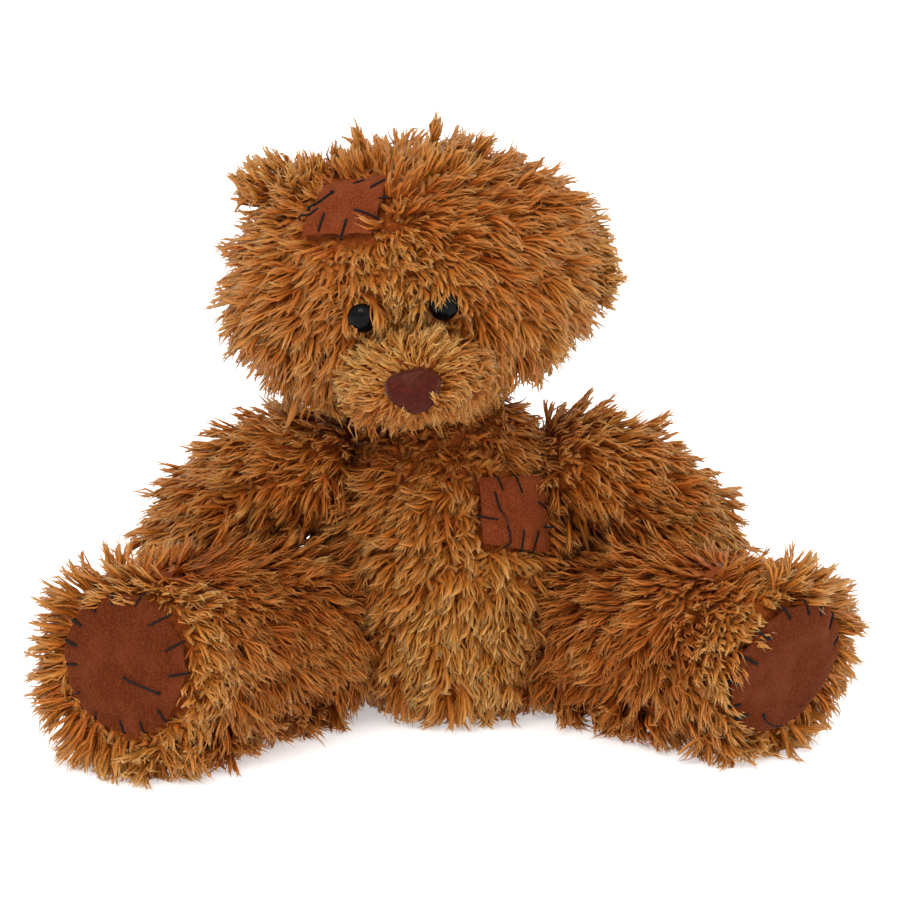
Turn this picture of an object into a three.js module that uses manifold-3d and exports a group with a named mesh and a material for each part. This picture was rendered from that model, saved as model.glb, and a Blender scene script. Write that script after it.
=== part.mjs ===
// A worn plush teddy bear, slumped in its seat with its legs apart and its arms hanging.
// Millimetres, +Z up. It faces -Y and sits on z = 0, and its own left side is at +X.
//
// Each stuffed section is a plush skin round a filling of its own. A skin's outer face is the
// level of the pressed-down pile, where the sewn-on patches lie, so its wall is backing and
// short pile together, and the loose locks of pile stand proud of it. The skins are open where
// they are sewn to each other: at the neck, the shoulders, the hips and behind the muzzle.

import * as THREE from 'three';
import { mergeVertices } from 'three/addons/utils/BufferGeometryUtils.js';
import Module from 'manifold-3d';

const wasm = await Module();
wasm.setup();

// Driving dimensions

const GAP = 0.3;                    // clear space between pieces that touch
const PLUSH_WALL = 4;               // backing plus pressed-down pile
const SUEDE = 1.2;                  // thickness of the patches and foot pads
const THREAD = 0.7;                 // thickness of the sewing thread
const NECK_RADIUS = 15;             // opening between the head and the torso
const PELLET_HEIGHT = 34;           // the pellets fill the torso up to here

const HEAD_CENTRE = new THREE.Vector3(-12, -12, 142);
const HEAD_RADII = new THREE.Vector3(54, 42, 42);
const HEAD_ROLL = -9;               // degrees about Y, its left side is the higher one
const HEAD_YAW = -3;                // degrees about Z, the face looks to its own right

const MUZZLE_CENTRE = new THREE.Vector3(0.5, -37, -24);     // in the head's own frame
const MUZZLE_RADII = new THREE.Vector3(25, 23, 16);

const EYE_RADIUS = 4.5;
const EYE_HEIGHT = 3.4;
const EYE_SPREAD = 12.2;            // from the middle of the face to each eye
const EYE_DROP = -3.6;
const SHANK_RADIUS = 1.4;
const SHANK_LENGTH = 9;
const WASHER_RADIUS = 5;
const WASHER_THICKNESS = 1.4;
const WASHER_DEPTH = PLUSH_WALL + 2 * GAP;                  // below the head's outer face

const NOSE_WIDTH = 17;
const NOSE_HEIGHT = 14;
const NOSE_THICKNESS = 3.2;

const FOOT_PAD = {                  // half sizes of the foot pads
  right: { across: 20.8, along: 21.3 },
  left: { across: 20.2, along: 22.2 },
};
const FOOT_STITCHES = 14;
const STITCH_LENGTH = 6;
const THREAD_LOW = SUEDE + 2 * GAP;                         // the thread lies on the suede

const plush = { color: 0xa8682c, roughness: 0.95, metalness: 0 };
const muzzlePlush = { color: 0xb67a3c, roughness: 0.95, metalness: 0 };
const suede = { color: 0x89442a, roughness: 0.9, metalness: 0 };
const leatherette = { color: 0x552420, roughness: 0.45, metalness: 0 };
const eyePlastic = { color: 0x0b0b0d, roughness: 0.15, metalness: 0 };
const washerPlastic = { color: 0xe6e4dc, roughness: 0.5, metalness: 0 };
const blackThread = { color: 0x15181c, roughness: 0.8, metalness: 0 };
const filling = { color: 0xf0ede4, roughness: 1, metalness: 0 };
const pellets = { color: 0xd8d4c6, roughness: 0.6, metalness: 0 };

// Solids

const UP = new THREE.Vector3(0, 0, 1);

// A closed mesh with shared vertices, and no triangles folded flat at its poles.
function closedGeometry(geometry) {
  for (const name of Object.keys(geometry.attributes)) {
    if (name !== 'position') geometry.deleteAttribute(name);
  }
  const merged = mergeVertices(geometry, 1e-3);
  const kept = [];
  for (let i = 0; i < merged.index.count; i += 3) {
    const [a, b, c] = [0, 1, 2].map((k) => merged.index.getX(i + k));
    if (a !== b && b !== c && c !== a) kept.push(a, b, c);
  }
  merged.setIndex(kept);
  return merged;
}

function manifoldOf(geometry) {
  const closed = closedGeometry(geometry);
  return new wasm.Manifold(new wasm.Mesh({
    numProp: 3,
    vertProperties: new Float32Array(closed.attributes.position.array),
    triVerts: new Uint32Array(closed.index.array),
  }));
}

// A rounded form moved outwards along its normals, or inwards by a negative distance.
function grown(geometry, distance) {
  const closed = closedGeometry(geometry.clone());
  closed.computeVertexNormals();
  const place = closed.attributes.position;
  const normal = closed.attributes.normal;
  for (let i = 0; i < place.count; i += 1) {
    place.setXYZ(
      i,
      place.getX(i) + distance * normal.getX(i),
      place.getY(i) + distance * normal.getY(i),
      place.getZ(i) + distance * normal.getZ(i),
    );
  }
  return manifoldOf(closed);
}

function meshOf(name, solid, finish) {
  const { vertProperties, triVerts } = solid.getMesh();
  const geometry = new THREE.BufferGeometry();
  geometry.setAttribute('position', new THREE.BufferAttribute(new Float32Array(vertProperties), 3));
  geometry.setIndex(new THREE.BufferAttribute(new Uint32Array(triVerts), 1));
  const mesh = new THREE.Mesh(geometry, new THREE.MeshStandardMaterial(finish));
  mesh.name = name;
  return mesh;
}

// A box with its lowest face at the given height, wide enough to trim anything here.
function slabAbove(height, thickness = 400) {
  const box = new THREE.BoxGeometry(600, 600, thickness);
  box.translate(0, 0, height + thickness / 2);
  return manifoldOf(box);
}

// A frame on a surface: z points out of it along normal, and y up it, turned by roll degrees.
function frameAt(position, normal, roll = 0) {
  const out = normal.clone().normalize();
  const side = new THREE.Vector3().crossVectors(UP, out).normalize();
  const rise = new THREE.Vector3().crossVectors(out, side);
  const frame = new THREE.Matrix4().makeBasis(side, rise, out);
  frame.multiply(new THREE.Matrix4().makeRotationZ(THREE.MathUtils.degToRad(roll)));
  return frame.setPosition(position);
}

// An outline pushed straight through a surface at a frame, from inside it to outside it.
function prismAt(frame, shape, low, high) {
  const prism = new THREE.ExtrudeGeometry(shape, {
    depth: high - low, bevelEnabled: false, curveSegments: 12,
  });
  prism.translate(0, 0, low);
  return manifoldOf(prism.applyMatrix4(frame));
}

// A turned shape round a frame's z axis, from a profile of [radius, height] pairs.
function turnedAt(frame, profile, segments = 12) {
  const points = profile.map(([radius, height]) => new THREE.Vector2(radius, height));
  const turned = new THREE.LatheGeometry(points, segments);
  turned.rotateX(Math.PI / 2);
  return manifoldOf(turned.applyMatrix4(frame));
}

// A stuffed form along a route. The profile gives [fraction along the route, radius] pairs,
// and flatness scales the radius across the route's upper side.
function stuffedForm(route, profile, flatness = 1, segments = 18) {
  const points = profile.map(([along, radius]) => new THREE.Vector2(radius, along));
  const form = new THREE.LatheGeometry(points, segments);
  const place = form.attributes.position;
  const across = new THREE.Vector3();
  const below = new THREE.Vector3();
  for (let i = 0; i < place.count; i += 1) {
    const along = THREE.MathUtils.clamp(place.getY(i), 0, 1);
    const ahead = route.getTangentAt(along);
    across.crossVectors(route.upHint, ahead).normalize();
    below.crossVectors(across, ahead);
    const spot = route.getPointAt(along);
    spot.addScaledVector(across, place.getX(i));
    spot.addScaledVector(below, place.getZ(i) * flatness);
    place.setXYZ(i, spot.x, spot.y, spot.z);
  }
  return form;
}

function bentRoute(start, middle, end, upHint = UP) {
  const route = new THREE.QuadraticBezierCurve3(
    new THREE.Vector3(...start), new THREE.Vector3(...middle), new THREE.Vector3(...end),
  );
  route.upHint = upHint;
  return route;
}

// A smooth profile through a few [fraction, radius] knots.
function smoothProfile(knots, steps) {
  const curve = new THREE.SplineCurve(knots.map(([along, radius]) => new THREE.Vector2(along, radius)));
  const profile = curve.getPoints(steps).map((point) => [point.x, Math.max(point.y, 0)]);
  profile[0][1] = 0;
  profile[profile.length - 1][1] = 0;
  return profile;
}

// Outlines

function ellipseShape(across, along) {
  return new THREE.Shape().absellipse(0, 0, across, along, 0, 2 * Math.PI);
}

function polygonShape(corners) {
  return new THREE.Shape(corners.map(([x, y]) => new THREE.Vector2(x, y)));
}

// The corners of a closed path moved sideways by a distance, with mitred corners.
function offsetPath(corners, distance) {
  return corners.map((corner, i) => {
    const before = corners[(i + corners.length - 1) % corners.length];
    const after = corners[(i + 1) % corners.length];
    const normals = [[before, corner], [corner, after]].map(([from, to]) => {
      const length = Math.hypot(to[0] - from[0], to[1] - from[1]);
      return [(to[1] - from[1]) / length, (from[0] - to[0]) / length];
    });
    const scale = distance / (1 + normals[0][0] * normals[1][0] + normals[0][1] * normals[1][1]);
    return [0, 1].map((k) => corner[k] + scale * (normals[0][k] + normals[1][k]));
  });
}

// Whip stitching: one thread that goes out over a rim at every stitch, given as its inner and
// outer ends in order round the rim, and back in to the start of the next one.
function stitchingShape(stitches) {
  const path = stitches.flat();
  const shape = polygonShape(offsetPath(path, THREAD / 2));
  const inside = offsetPath(path, -THREAD / 2).map(([x, y]) => new THREE.Vector2(x, y));
  shape.holes.push(new THREE.Path(inside));
  return shape;
}

// Head: an oval form, rolled and turned on the shoulders

const headFrame = new THREE.Matrix4()
  .makeRotationFromEuler(new THREE.Euler(
    0, THREE.MathUtils.degToRad(HEAD_ROLL), THREE.MathUtils.degToRad(HEAD_YAW), 'ZYX',
  ))
  .setPosition(HEAD_CENTRE);

function ellipsoid(centre, radii, frame) {
  const form = new THREE.SphereGeometry(1, 20, 14);
  form.scale(radii.x, radii.y, radii.z);
  form.translate(centre.x, centre.y, centre.z);
  return form.applyMatrix4(frame);
}

const headForm = ellipsoid(new THREE.Vector3(), HEAD_RADII, headFrame);
const muzzleForm = ellipsoid(MUZZLE_CENTRE, MUZZLE_RADII, headFrame);

// The frame on the face side of the head, above a point given by its x and z in the head.
function onFace(x, z, roll = 0) {
  const depth = Math.sqrt(1 - (x / HEAD_RADII.x) ** 2 - (z / HEAD_RADII.z) ** 2);
  const spot = new THREE.Vector3(x, -HEAD_RADII.y * depth, z);
  const normal = spot.clone().divide(HEAD_RADII).divide(HEAD_RADII);
  const frame = frameAt(spot, normal, roll);
  return frame.premultiply(headFrame);
}

// Torso: pear-shaped, leaning a little to its own right

const torsoForm = stuffedForm(
  bentRoute([-1, 3, 0], [5, 6, 55], [-7, -2, 109], new THREE.Vector3(0, -1, 0)),
  [
    [0, 0], [0, 25], [0.03, 31], [0.1, 36.5], [0.2, 38.5], [0.32, 39.5], [0.45, 39], [0.58, 37],
    [0.7, 33.5], [0.8, 29], [0.88, 24], [0.94, 18], [0.98, 10.5], [1, 0],
  ],
  0.95,
);

// Limbs: legs end in a flat sole, arms in a round paw

const LEG_PROFILE = [
  [0, 0], [0.015, 11], [0.05, 18.5], [0.12, 24.5], [0.24, 27.5], [0.4, 29], [0.58, 29.5], [0.74, 29.5],
  [0.86, 29.3], [0.93, 28.7], [0.97, 27.5], [0.99, 26], [1, 23.5], [1, 0],
];
const ARM_PROFILE = smoothProfile(
  [[0, 0], [0.02, 11], [0.1, 18.5], [0.25, 21], [0.5, 20], [0.75, 19.5], [0.9, 16], [0.98, 9], [1, 0]],
  11,
);

const legRoutes = {
  right: bentRoute([-26, 8, 27], [-72, -24, 29], [-96, -76, 33]),
  left: bentRoute([30, 8, 19.5], [77, -29, 37], [101, -61, 28.3]),
};
const armRoutes = {
  right: bentRoute([-24, 5, 79], [-76, 10, 80], [-86, 13, 30], new THREE.Vector3(0, -1, 0)),
  left: bentRoute([24, 5, 77], [72, 10, 79], [81, 13, 30], new THREE.Vector3(0, -1, 0)),
};
const SOLE_ROLL = { right: 10, left: -48 };     // the long axis of each foot pad, in degrees
const SOLE_RAISE = { right: 3.5, left: 3 };      // each pad's middle above the middle of its sole

const LEG_GIRTH = { right: 1, left: 0.96 };     // the fuller leg bears more on the ground

const legForms = {};
const armForms = {};
for (const side of ['right', 'left']) {
  const legProfile = LEG_PROFILE.map(([along, radius]) => [along, radius * LEG_GIRTH[side]]);
  legForms[side] = stuffedForm(legRoutes[side], legProfile);
  armForms[side] = stuffedForm(armRoutes[side], ARM_PROFILE);
}

// Skins and fillings

const ground = slabAbove(0);
const skinFloor = slabAbove(PLUSH_WALL);
const fillingFloor = slabAbove(PLUSH_WALL + GAP);
const neck = turnedAt(
  frameAt(new THREE.Vector3(-9, -6, 92), new THREE.Vector3(-2, -4, 30)),
  [[0, 0], [NECK_RADIUS, 0], [NECK_RADIUS, 26], [0, 26]],
);

function skinOf(form) {
  const hollow = grown(form, -PLUSH_WALL).intersect(skinFloor);
  return manifoldOf(form.clone()).intersect(ground).subtract(hollow);
}

function fillingOf(form) {
  return grown(form, -PLUSH_WALL - GAP).intersect(fillingFloor);
}

const torsoClear = grown(torsoForm, GAP);
const headClear = grown(headForm, GAP);
const muzzleClear = grown(muzzleForm, GAP);

const bear = new THREE.Group();

// Torso, with pellets in the seat so that it slumps

const torsoFilling = fillingOf(torsoForm);
bear.add(
  meshOf('torso_skin', skinOf(torsoForm).subtract(neck), plush),
  meshOf('torso_stuffing', torsoFilling.intersect(slabAbove(PELLET_HEIGHT + GAP)), filling),
  meshOf('pellet_bag', torsoFilling.subtract(slabAbove(PELLET_HEIGHT)), pellets),
);

// Limbs, each one cut to the torso that it is sewn to

for (const side of ['right', 'left']) {
  const legClear = grown(legForms[side], GAP);
  bear.add(
    meshOf(`leg_skin_${side}`, skinOf(legForms[side]).subtract(torsoClear), plush),
    meshOf(`leg_stuffing_${side}`, fillingOf(legForms[side]).subtract(torsoClear), filling),
    meshOf(`arm_skin_${side}`, skinOf(armForms[side]).subtract(torsoClear).subtract(legClear), plush),
    meshOf(
      `arm_stuffing_${side}`,
      fillingOf(armForms[side]).subtract(torsoClear).subtract(grown(legForms[side], GAP + PLUSH_WALL)),
      filling,
    ),
  );
}

// Foot pads: suede ovals on the soles, whip-stitched round the rim

for (const side of ['right', 'left']) {
  const route = legRoutes[side];
  const pad = FOOT_PAD[side];
  const sole = frameAt(route.getPoint(1), route.getTangent(1))
    .multiply(new THREE.Matrix4().makeTranslation(0, SOLE_RAISE[side], 0))
    .multiply(new THREE.Matrix4().makeRotationZ(THREE.MathUtils.degToRad(SOLE_ROLL[side])));
  const stitches = [];
  for (let i = 0; i < FOOT_STITCHES; i += 1) {
    const turn = 2 * Math.PI * i / FOOT_STITCHES;
    const at = [pad.across * Math.cos(turn), pad.along * Math.sin(turn)];
    const reach = STITCH_LENGTH / 2 / Math.hypot(...at);
    stitches.push([at.map((v) => v * (1 - reach)), at.map((v) => v * (1 + reach))]);
  }
  const outline = ellipseShape(pad.across, pad.along);
  const thread = prismAt(sole, stitchingShape(stitches), THREAD_LOW, THREAD_LOW + THREAD);
  bear.add(
    meshOf(`foot_pad_${side}`, prismAt(sole, outline, GAP, GAP + SUEDE), suede),
    meshOf(`foot_stitching_${side}`, thread, blackThread),
  );
}

// Head, with the shank holes and the washers of its eyes

const EYE_SEAT = 2 * GAP;           // the flat back of each eye, above the skin
const eyeDome = [[0.9, 0], [1, 0.14], [0.92, 0.45], [0.7, 0.76], [0.38, 0.94], [0, 1]].map(
  ([out, up]) => [EYE_RADIUS * out, EYE_SEAT + EYE_HEIGHT * up],
);
const washerLow = -WASHER_DEPTH - WASHER_THICKNESS;
const eyeFrames = { right: onFace(-EYE_SPREAD, EYE_DROP), left: onFace(EYE_SPREAD, EYE_DROP) };
let headSkin = skinOf(headForm).subtract(neck).subtract(torsoClear);
let headFilling = fillingOf(headForm).subtract(torsoClear);

for (const [side, frame] of Object.entries(eyeFrames)) {
  const hole = SHANK_RADIUS + GAP;
  const pocket = WASHER_RADIUS + GAP;
  const pocketFloor = washerLow - GAP;
  headSkin = headSkin.subtract(turnedAt(
    frame,
    [[0, -PLUSH_WALL - 1], [hole, -PLUSH_WALL - 1], [hole, 1], [0, 1]],
  ));
  headFilling = headFilling.subtract(turnedAt(
    frame,
    [[0, -SHANK_LENGTH - GAP], [hole, -SHANK_LENGTH - GAP], [hole, pocketFloor],
      [pocket, pocketFloor], [pocket, 0], [0, 0]],
  ));
  bear.add(
    meshOf(`eye_${side}`, turnedAt(
      frame,
      [[0, -SHANK_LENGTH], [SHANK_RADIUS, -SHANK_LENGTH], [SHANK_RADIUS, EYE_SEAT], ...eyeDome],
    ), eyePlastic),
    meshOf(`eye_washer_${side}`, turnedAt(
      frame,
      [[hole, washerLow], [WASHER_RADIUS, washerLow], [WASHER_RADIUS, -WASHER_DEPTH], [hole, -WASHER_DEPTH],
        [hole, washerLow]],
    ), washerPlastic),
  );
}
bear.add(meshOf('head_skin', headSkin, plush), meshOf('head_stuffing', headFilling, filling));

// Muzzle: a stuffed cap of shorter plush, sewn to the face

bear.add(
  meshOf('muzzle_skin', skinOf(muzzleForm).subtract(headClear).subtract(torsoClear), muzzlePlush),
  meshOf('muzzle_stuffing', fillingOf(muzzleForm).subtract(headClear).subtract(torsoClear), filling),
);

// Nose: a padded leatherette triangle with rounded corners, point down

const noseOutline = new THREE.Shape()
  .moveTo(0, -NOSE_HEIGHT / 2)
  .bezierCurveTo(3.5, -NOSE_HEIGHT / 2, NOSE_WIDTH / 2, 1, NOSE_WIDTH / 2, NOSE_HEIGHT / 4)
  .bezierCurveTo(NOSE_WIDTH / 2, NOSE_HEIGHT / 2, 3, NOSE_HEIGHT / 2, 0, NOSE_HEIGHT / 2)
  .bezierCurveTo(-3, NOSE_HEIGHT / 2, -NOSE_WIDTH / 2, NOSE_HEIGHT / 2, -NOSE_WIDTH / 2, NOSE_HEIGHT / 4)
  .bezierCurveTo(-NOSE_WIDTH / 2, 1, -3.5, -NOSE_HEIGHT / 2, 0, -NOSE_HEIGHT / 2);
const noseBlock = new THREE.ExtrudeGeometry(noseOutline, {
  depth: NOSE_THICKNESS,
  curveSegments: 4,
  bevelThickness: 1.6,
  bevelSize: 1.2,
  bevelOffset: -1.2,
  bevelSegments: 2,
});
const noseSpot = new THREE.Vector3(1.2, MUZZLE_CENTRE.y - MUZZLE_RADII.y - 0.5, MUZZLE_CENTRE.z - 0.9);
const noseFrame = frameAt(noseSpot, new THREE.Vector3(0, -1, 0.1)).premultiply(headFrame);
noseBlock.applyMatrix4(noseFrame);
bear.add(meshOf('nose', manifoldOf(noseBlock).subtract(muzzleClear), leatherette));

// Ears: flat furred lobes. The right one stands up, the left one hangs at the side.

const EARS = {
  right: { centre: [-50, -6, 165], radii: [11, 6, 10], lean: 20, turn: 15 },
  left: { centre: [38, -5, 147], radii: [9, 6.5, 15], lean: -12, turn: -35 },
};
for (const [side, { centre, radii, lean, turn }] of Object.entries(EARS)) {
  const lobe = new THREE.SphereGeometry(1, 14, 9);
  lobe.scale(...radii);
  lobe.rotateY(THREE.MathUtils.degToRad(lean));
  lobe.rotateZ(THREE.MathUtils.degToRad(turn));
  lobe.translate(...centre);
  bear.add(meshOf(`ear_${side}`, manifoldOf(lobe).subtract(headClear), plush));
}

// Patches: suede pieces over worn places, on the forehead and on the chest

const PATCHES = {
  head: {
    form: headForm,
    frame: onFace(-13.5, 29),
    corners: [[-8.5, 9.5], [13, 10.5], [10, -11], [-13.5, -9]],
    stitches: [
      [[8, 3], [14.5, 4.5]], [[7.5, 7], [10, 13]], [[1, 7], [4, 13]], [[-4.5, 3], [-12, 1]],
      [[-7, -2.5], [-13.5, -5]], [[-5, -6], [-6.5, -12]], [[1.5, -8], [0.5, -13.5]], [[5, -4.5], [12, -5.5]],
    ],
  },
  chest: {
    form: torsoForm,
    frame: frameAt(new THREE.Vector3(23.5, -29, 70), new THREE.Vector3(0.45, -0.88, 0.15), -4),
    corners: [[-13, 12.5], [12, 12], [13, -13], [-12.5, -8.5]],
    stitches: [
      [[10, 3], [15.5, 2]], [[7, 7.5], [9, 14]], [[1, 8.5], [1, 14]], [[-5, 8], [-5.5, 15]],
      [[-9, 5], [-15.5, 7]], [[-9.5, -1], [-15, -2]], [[-4, -5.5], [-5.5, -12.5]], [[1.5, -7.5], [1, -13.5]],
      [[6.5, -8.5], [6.5, -15]], [[10, -4], [15.5, -5.5]],
    ],
  },
};
for (const [place, { form, frame, corners, stitches }] of Object.entries(PATCHES)) {
  const layer = (low, high) => grown(form, high).subtract(grown(form, low));
  const reach = 14;               // how far a prism runs each way through the surface
  const patch = prismAt(frame, polygonShape(corners), -reach, reach);
  const thread = prismAt(frame, stitchingShape(stitches), -reach, reach);
  bear.add(
    meshOf(`${place}_patch`, layer(GAP, GAP + SUEDE).intersect(patch), suede),
    meshOf(`${place}_patch_stitching`, layer(THREAD_LOW, THREAD_LOW + THREAD).intersect(thread), blackThread),
  );
}

// The origin is under the middle of the whole toy.

const middle = new THREE.Box3().setFromObject(bear).getCenter(new THREE.Vector3());
bear.position.set(-middle.x, -middle.y, 0);
const placed = new THREE.Group();
placed.add(bear);

export default placed;
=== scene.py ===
import math
import random

import bmesh
import bpy
import numpy as np
from mathutils import Matrix, Vector, noise
from mathutils.bvhtree import BVHTree
from mathutils.kdtree import KDTree


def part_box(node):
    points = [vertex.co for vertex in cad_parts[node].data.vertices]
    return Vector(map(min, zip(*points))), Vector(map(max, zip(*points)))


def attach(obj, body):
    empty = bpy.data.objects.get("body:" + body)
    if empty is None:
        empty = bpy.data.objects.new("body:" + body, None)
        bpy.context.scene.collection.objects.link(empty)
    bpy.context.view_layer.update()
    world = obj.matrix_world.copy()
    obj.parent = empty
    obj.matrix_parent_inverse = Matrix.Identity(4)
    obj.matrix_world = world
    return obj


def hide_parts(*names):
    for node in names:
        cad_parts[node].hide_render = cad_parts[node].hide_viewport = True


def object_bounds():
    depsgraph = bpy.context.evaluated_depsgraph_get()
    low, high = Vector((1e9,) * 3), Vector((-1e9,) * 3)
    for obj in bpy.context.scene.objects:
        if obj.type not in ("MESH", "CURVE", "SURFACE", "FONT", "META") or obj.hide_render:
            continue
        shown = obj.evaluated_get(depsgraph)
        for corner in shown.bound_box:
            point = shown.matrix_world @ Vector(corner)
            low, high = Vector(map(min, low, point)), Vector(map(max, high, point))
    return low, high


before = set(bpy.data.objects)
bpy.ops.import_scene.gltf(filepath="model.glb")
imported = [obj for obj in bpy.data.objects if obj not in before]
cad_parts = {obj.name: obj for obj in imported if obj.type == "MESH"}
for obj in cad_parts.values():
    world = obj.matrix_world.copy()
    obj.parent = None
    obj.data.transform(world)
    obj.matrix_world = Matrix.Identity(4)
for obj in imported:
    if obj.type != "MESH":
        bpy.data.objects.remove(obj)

# a worn plush bear: suede patches and pads, black hand stitching, long matted pile
# it sits on z = 0 and faces -Y, so its own left side is at +X; everything is in metres

mm = 0.001
up = Vector((0, 0, 1))
scene = bpy.context.scene
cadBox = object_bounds()
cadLow, cadHigh = cadBox
cadSize = cadHigh - cadLow


# camera first

cameraSet = {
    "lens": 112.5,
    "sensor": 36,
    "distance": 0.9,
    "elevation": 12,           # degrees above the horizon
    "aimAside": -0.0068,       # shares of the bear's width, depth and height
    "aimBack": 0.181,
    "aimHeight": 0.462,
}


def makeCamera():
    s = cameraSet
    aim = (cadLow + cadHigh) / 2
    aim.x += s["aimAside"] * cadSize.x
    aim.y += s["aimBack"] * cadSize.y
    aim.z = s["aimHeight"] * cadSize.z
    tilt = math.radians(s["elevation"])
    away = Vector((0, -math.cos(tilt), math.sin(tilt)))
    camera = bpy.data.objects.new("camera", bpy.data.cameras.new("camera"))
    scene.collection.objects.link(camera)
    camera.data.lens = s["lens"]
    camera.data.sensor_width = s["sensor"]
    camera.location = aim + away * s["distance"]
    camera.rotation_euler = (-away).to_track_quat("-Z", "Y").to_euler()
    scene.camera = camera


studioSet = {
    "suns": {                  # aside and above are degrees, angle is how wide the light is
        "key": {"aside": -26, "above": 44, "angle": 34, "strength": 1.35, "colour": (1, 0.985, 0.96)},
        "fill": {"aside": 34, "above": 20, "angle": 70, "strength": 0.55, "colour": (0.97, 0.985, 1)},
        "back": {"aside": 160, "above": 52, "angle": 50, "strength": 0.25, "colour": (1, 0.99, 0.97)},
    },
    "world": 1.05,
    "floor": 40.0,             # metres across
}


def makeStudio():
    s = studioSet
    for name, settings in s["suns"].items():
        lamp = bpy.data.lights.new(name, "SUN")
        lamp.angle = math.radians(settings["angle"])
        lamp.energy = settings["strength"]
        lamp.color = settings["colour"]
        light = bpy.data.objects.new(name, lamp)
        scene.collection.objects.link(light)
        aside, above = math.radians(settings["aside"]), math.radians(settings["above"])
        toward = Vector((math.sin(aside) * math.cos(above), -math.cos(aside) * math.cos(above), math.sin(above)))
        light.location = toward
        light.rotation_euler = (-toward).to_track_quat("-Z", "Y").to_euler()
    world = bpy.data.worlds.new("studio")
    world.use_nodes = True
    world.node_tree.nodes["Background"].inputs["Color"].default_value = (1, 1, 1, 1)
    world.node_tree.nodes["Background"].inputs["Strength"].default_value = s["world"]
    scene.world = world
    scene.view_settings.view_transform = "Standard"

    bm = bmesh.new()
    bmesh.ops.create_grid(bm, x_segments=8, y_segments=8, size=s["floor"] / 2)
    floor = newPiece("floor", bm)
    floor.data.materials.append(floorFinish())


# small helpers

def newPiece(name, bm, smooth=False):
    mesh = bpy.data.meshes.new(name)
    bm.to_mesh(mesh)
    bm.free()
    piece = bpy.data.objects.new(name, mesh)
    scene.collection.objects.link(piece)
    if smooth:
        mesh.shade_smooth()
    return piece


def keepModified(piece):
    graph = bpy.context.evaluated_depsgraph_get()
    mesh = bpy.data.meshes.new_from_object(piece.evaluated_get(graph))
    piece.modifiers.clear()
    piece.data = mesh
    mesh.name = piece.name
    return piece


def pointsOf(mesh):
    places = np.empty(len(mesh.vertices) * 3, np.float32)
    mesh.vertices.foreach_get("co", places)
    return places.reshape(-1, 3).astype(float)


def setPoints(mesh, places):
    mesh.vertices.foreach_set("co", places.astype(np.float32).ravel())
    mesh.update()


def middle(node):
    low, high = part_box(node)
    return (low + high) / 2


def cadCopy(*nodes):
    bm = bmesh.new()
    for node in nodes:
        bm.from_mesh(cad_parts[node].data)
    bmesh.ops.remove_doubles(bm, verts=bm.verts, dist=0.02 * mm)
    return bm


def surfaceOf(mesh):
    return BVHTree.FromPolygons([v.co for v in mesh.vertices], [p.vertices for p in mesh.polygons])


def smoothStep(low, high, value):
    share = min(max((value - low) / (high - low), 0), 1)
    return share * share * (3 - 2 * share)


def flat(vector, normal):
    return (vector - normal * vector.dot(normal)).normalized()


# a thin CAD piece's own frame: x to its side, y up it, z out of what it lies on
def lyingFrame(node, inside):
    places = pointsOf(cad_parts[node].data)
    centre = Vector((places.min(0) + places.max(0)) / 2)
    spread, axes = np.linalg.eigh(np.cov((places - places.mean(0)).T))
    out = Vector(axes[:, 0])
    if out.dot(centre - inside) < 0:
        out.negate()
    side = up.cross(out).normalized()
    rise = out.cross(side)
    turned = Matrix((side, rise, out)).transposed().to_4x4()
    turned.translation = centre
    return turned


# shader helpers

def linear(red, green, blue):
    return tuple(((c + 0.055) / 1.055) ** 2.4 if c > 0.04045 else c / 12.92
                 for c in (red / 255, green / 255, blue / 255)) + (1,)


def newMaterial(name, **sockets):
    material = bpy.data.materials.new(name)
    material.use_nodes = True
    shader = material.node_tree.nodes["Principled BSDF"]
    for socket, value in sockets.items():
        shader.inputs[socket.replace("_", " ")].default_value = value
    return material, material.node_tree, shader


def put(tree, kind, at, settings=None, **values):
    node = tree.nodes.new(kind)
    node.location = (at[0] * 200, at[1] * 200)
    for name, value in (settings or {}).items():
        setattr(node, name, value)
    for name, value in values.items():
        node.inputs[name.replace("_", " ")].default_value = value
    return node


def ramp(tree, at, stops):
    node = tree.nodes.new("ShaderNodeValToRGB")
    node.location = (at[0] * 200, at[1] * 200)
    line = node.color_ramp.elements
    while len(line) < len(stops):
        line.new(1)
    for element, (stop, colour) in zip(line, stops):
        element.position = stop
        element.color = colour
    return node


def mixColour(tree, at, blend, share, first, second):
    node = put(tree, "ShaderNodeMix", at, {"data_type": "RGBA", "blend_type": blend})
    for socket, source in ((0, share), (6, first), (7, second)):
        if hasattr(source, "links"):
            tree.links.new(source, node.inputs[socket])
        else:
            node.inputs[socket].default_value = source
    return node.outputs[2]


def sums(tree, at, operation, first, second, third=None):
    node = put(tree, "ShaderNodeMath", at, {"operation": operation})
    for socket, source in enumerate((first, second, third)):
        if source is None:
            continue
        if hasattr(source, "links"):
            tree.links.new(source, node.inputs[socket])
        else:
            node.inputs[socket].default_value = source
    return node.outputs[0]


def newGroup(name, inputs, outputs):
    group = bpy.data.node_groups.new(name, "ShaderNodeTree")
    for label, kind, value in inputs:
        socket = group.interface.new_socket(label, in_out="INPUT", socket_type=kind)
        if value is not None:
            socket.default_value = value
    for label, kind in outputs:
        group.interface.new_socket(label, in_out="OUTPUT", socket_type=kind)
    return group, group.nodes.new("NodeGroupInput"), group.nodes.new("NodeGroupOutput")


def place(tree, group, at, **values):
    node = put(tree, "ShaderNodeGroup", at)
    node.node_tree = group
    for name, value in values.items():
        node.inputs[name.replace("_", " ")].default_value = value
    return node


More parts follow.
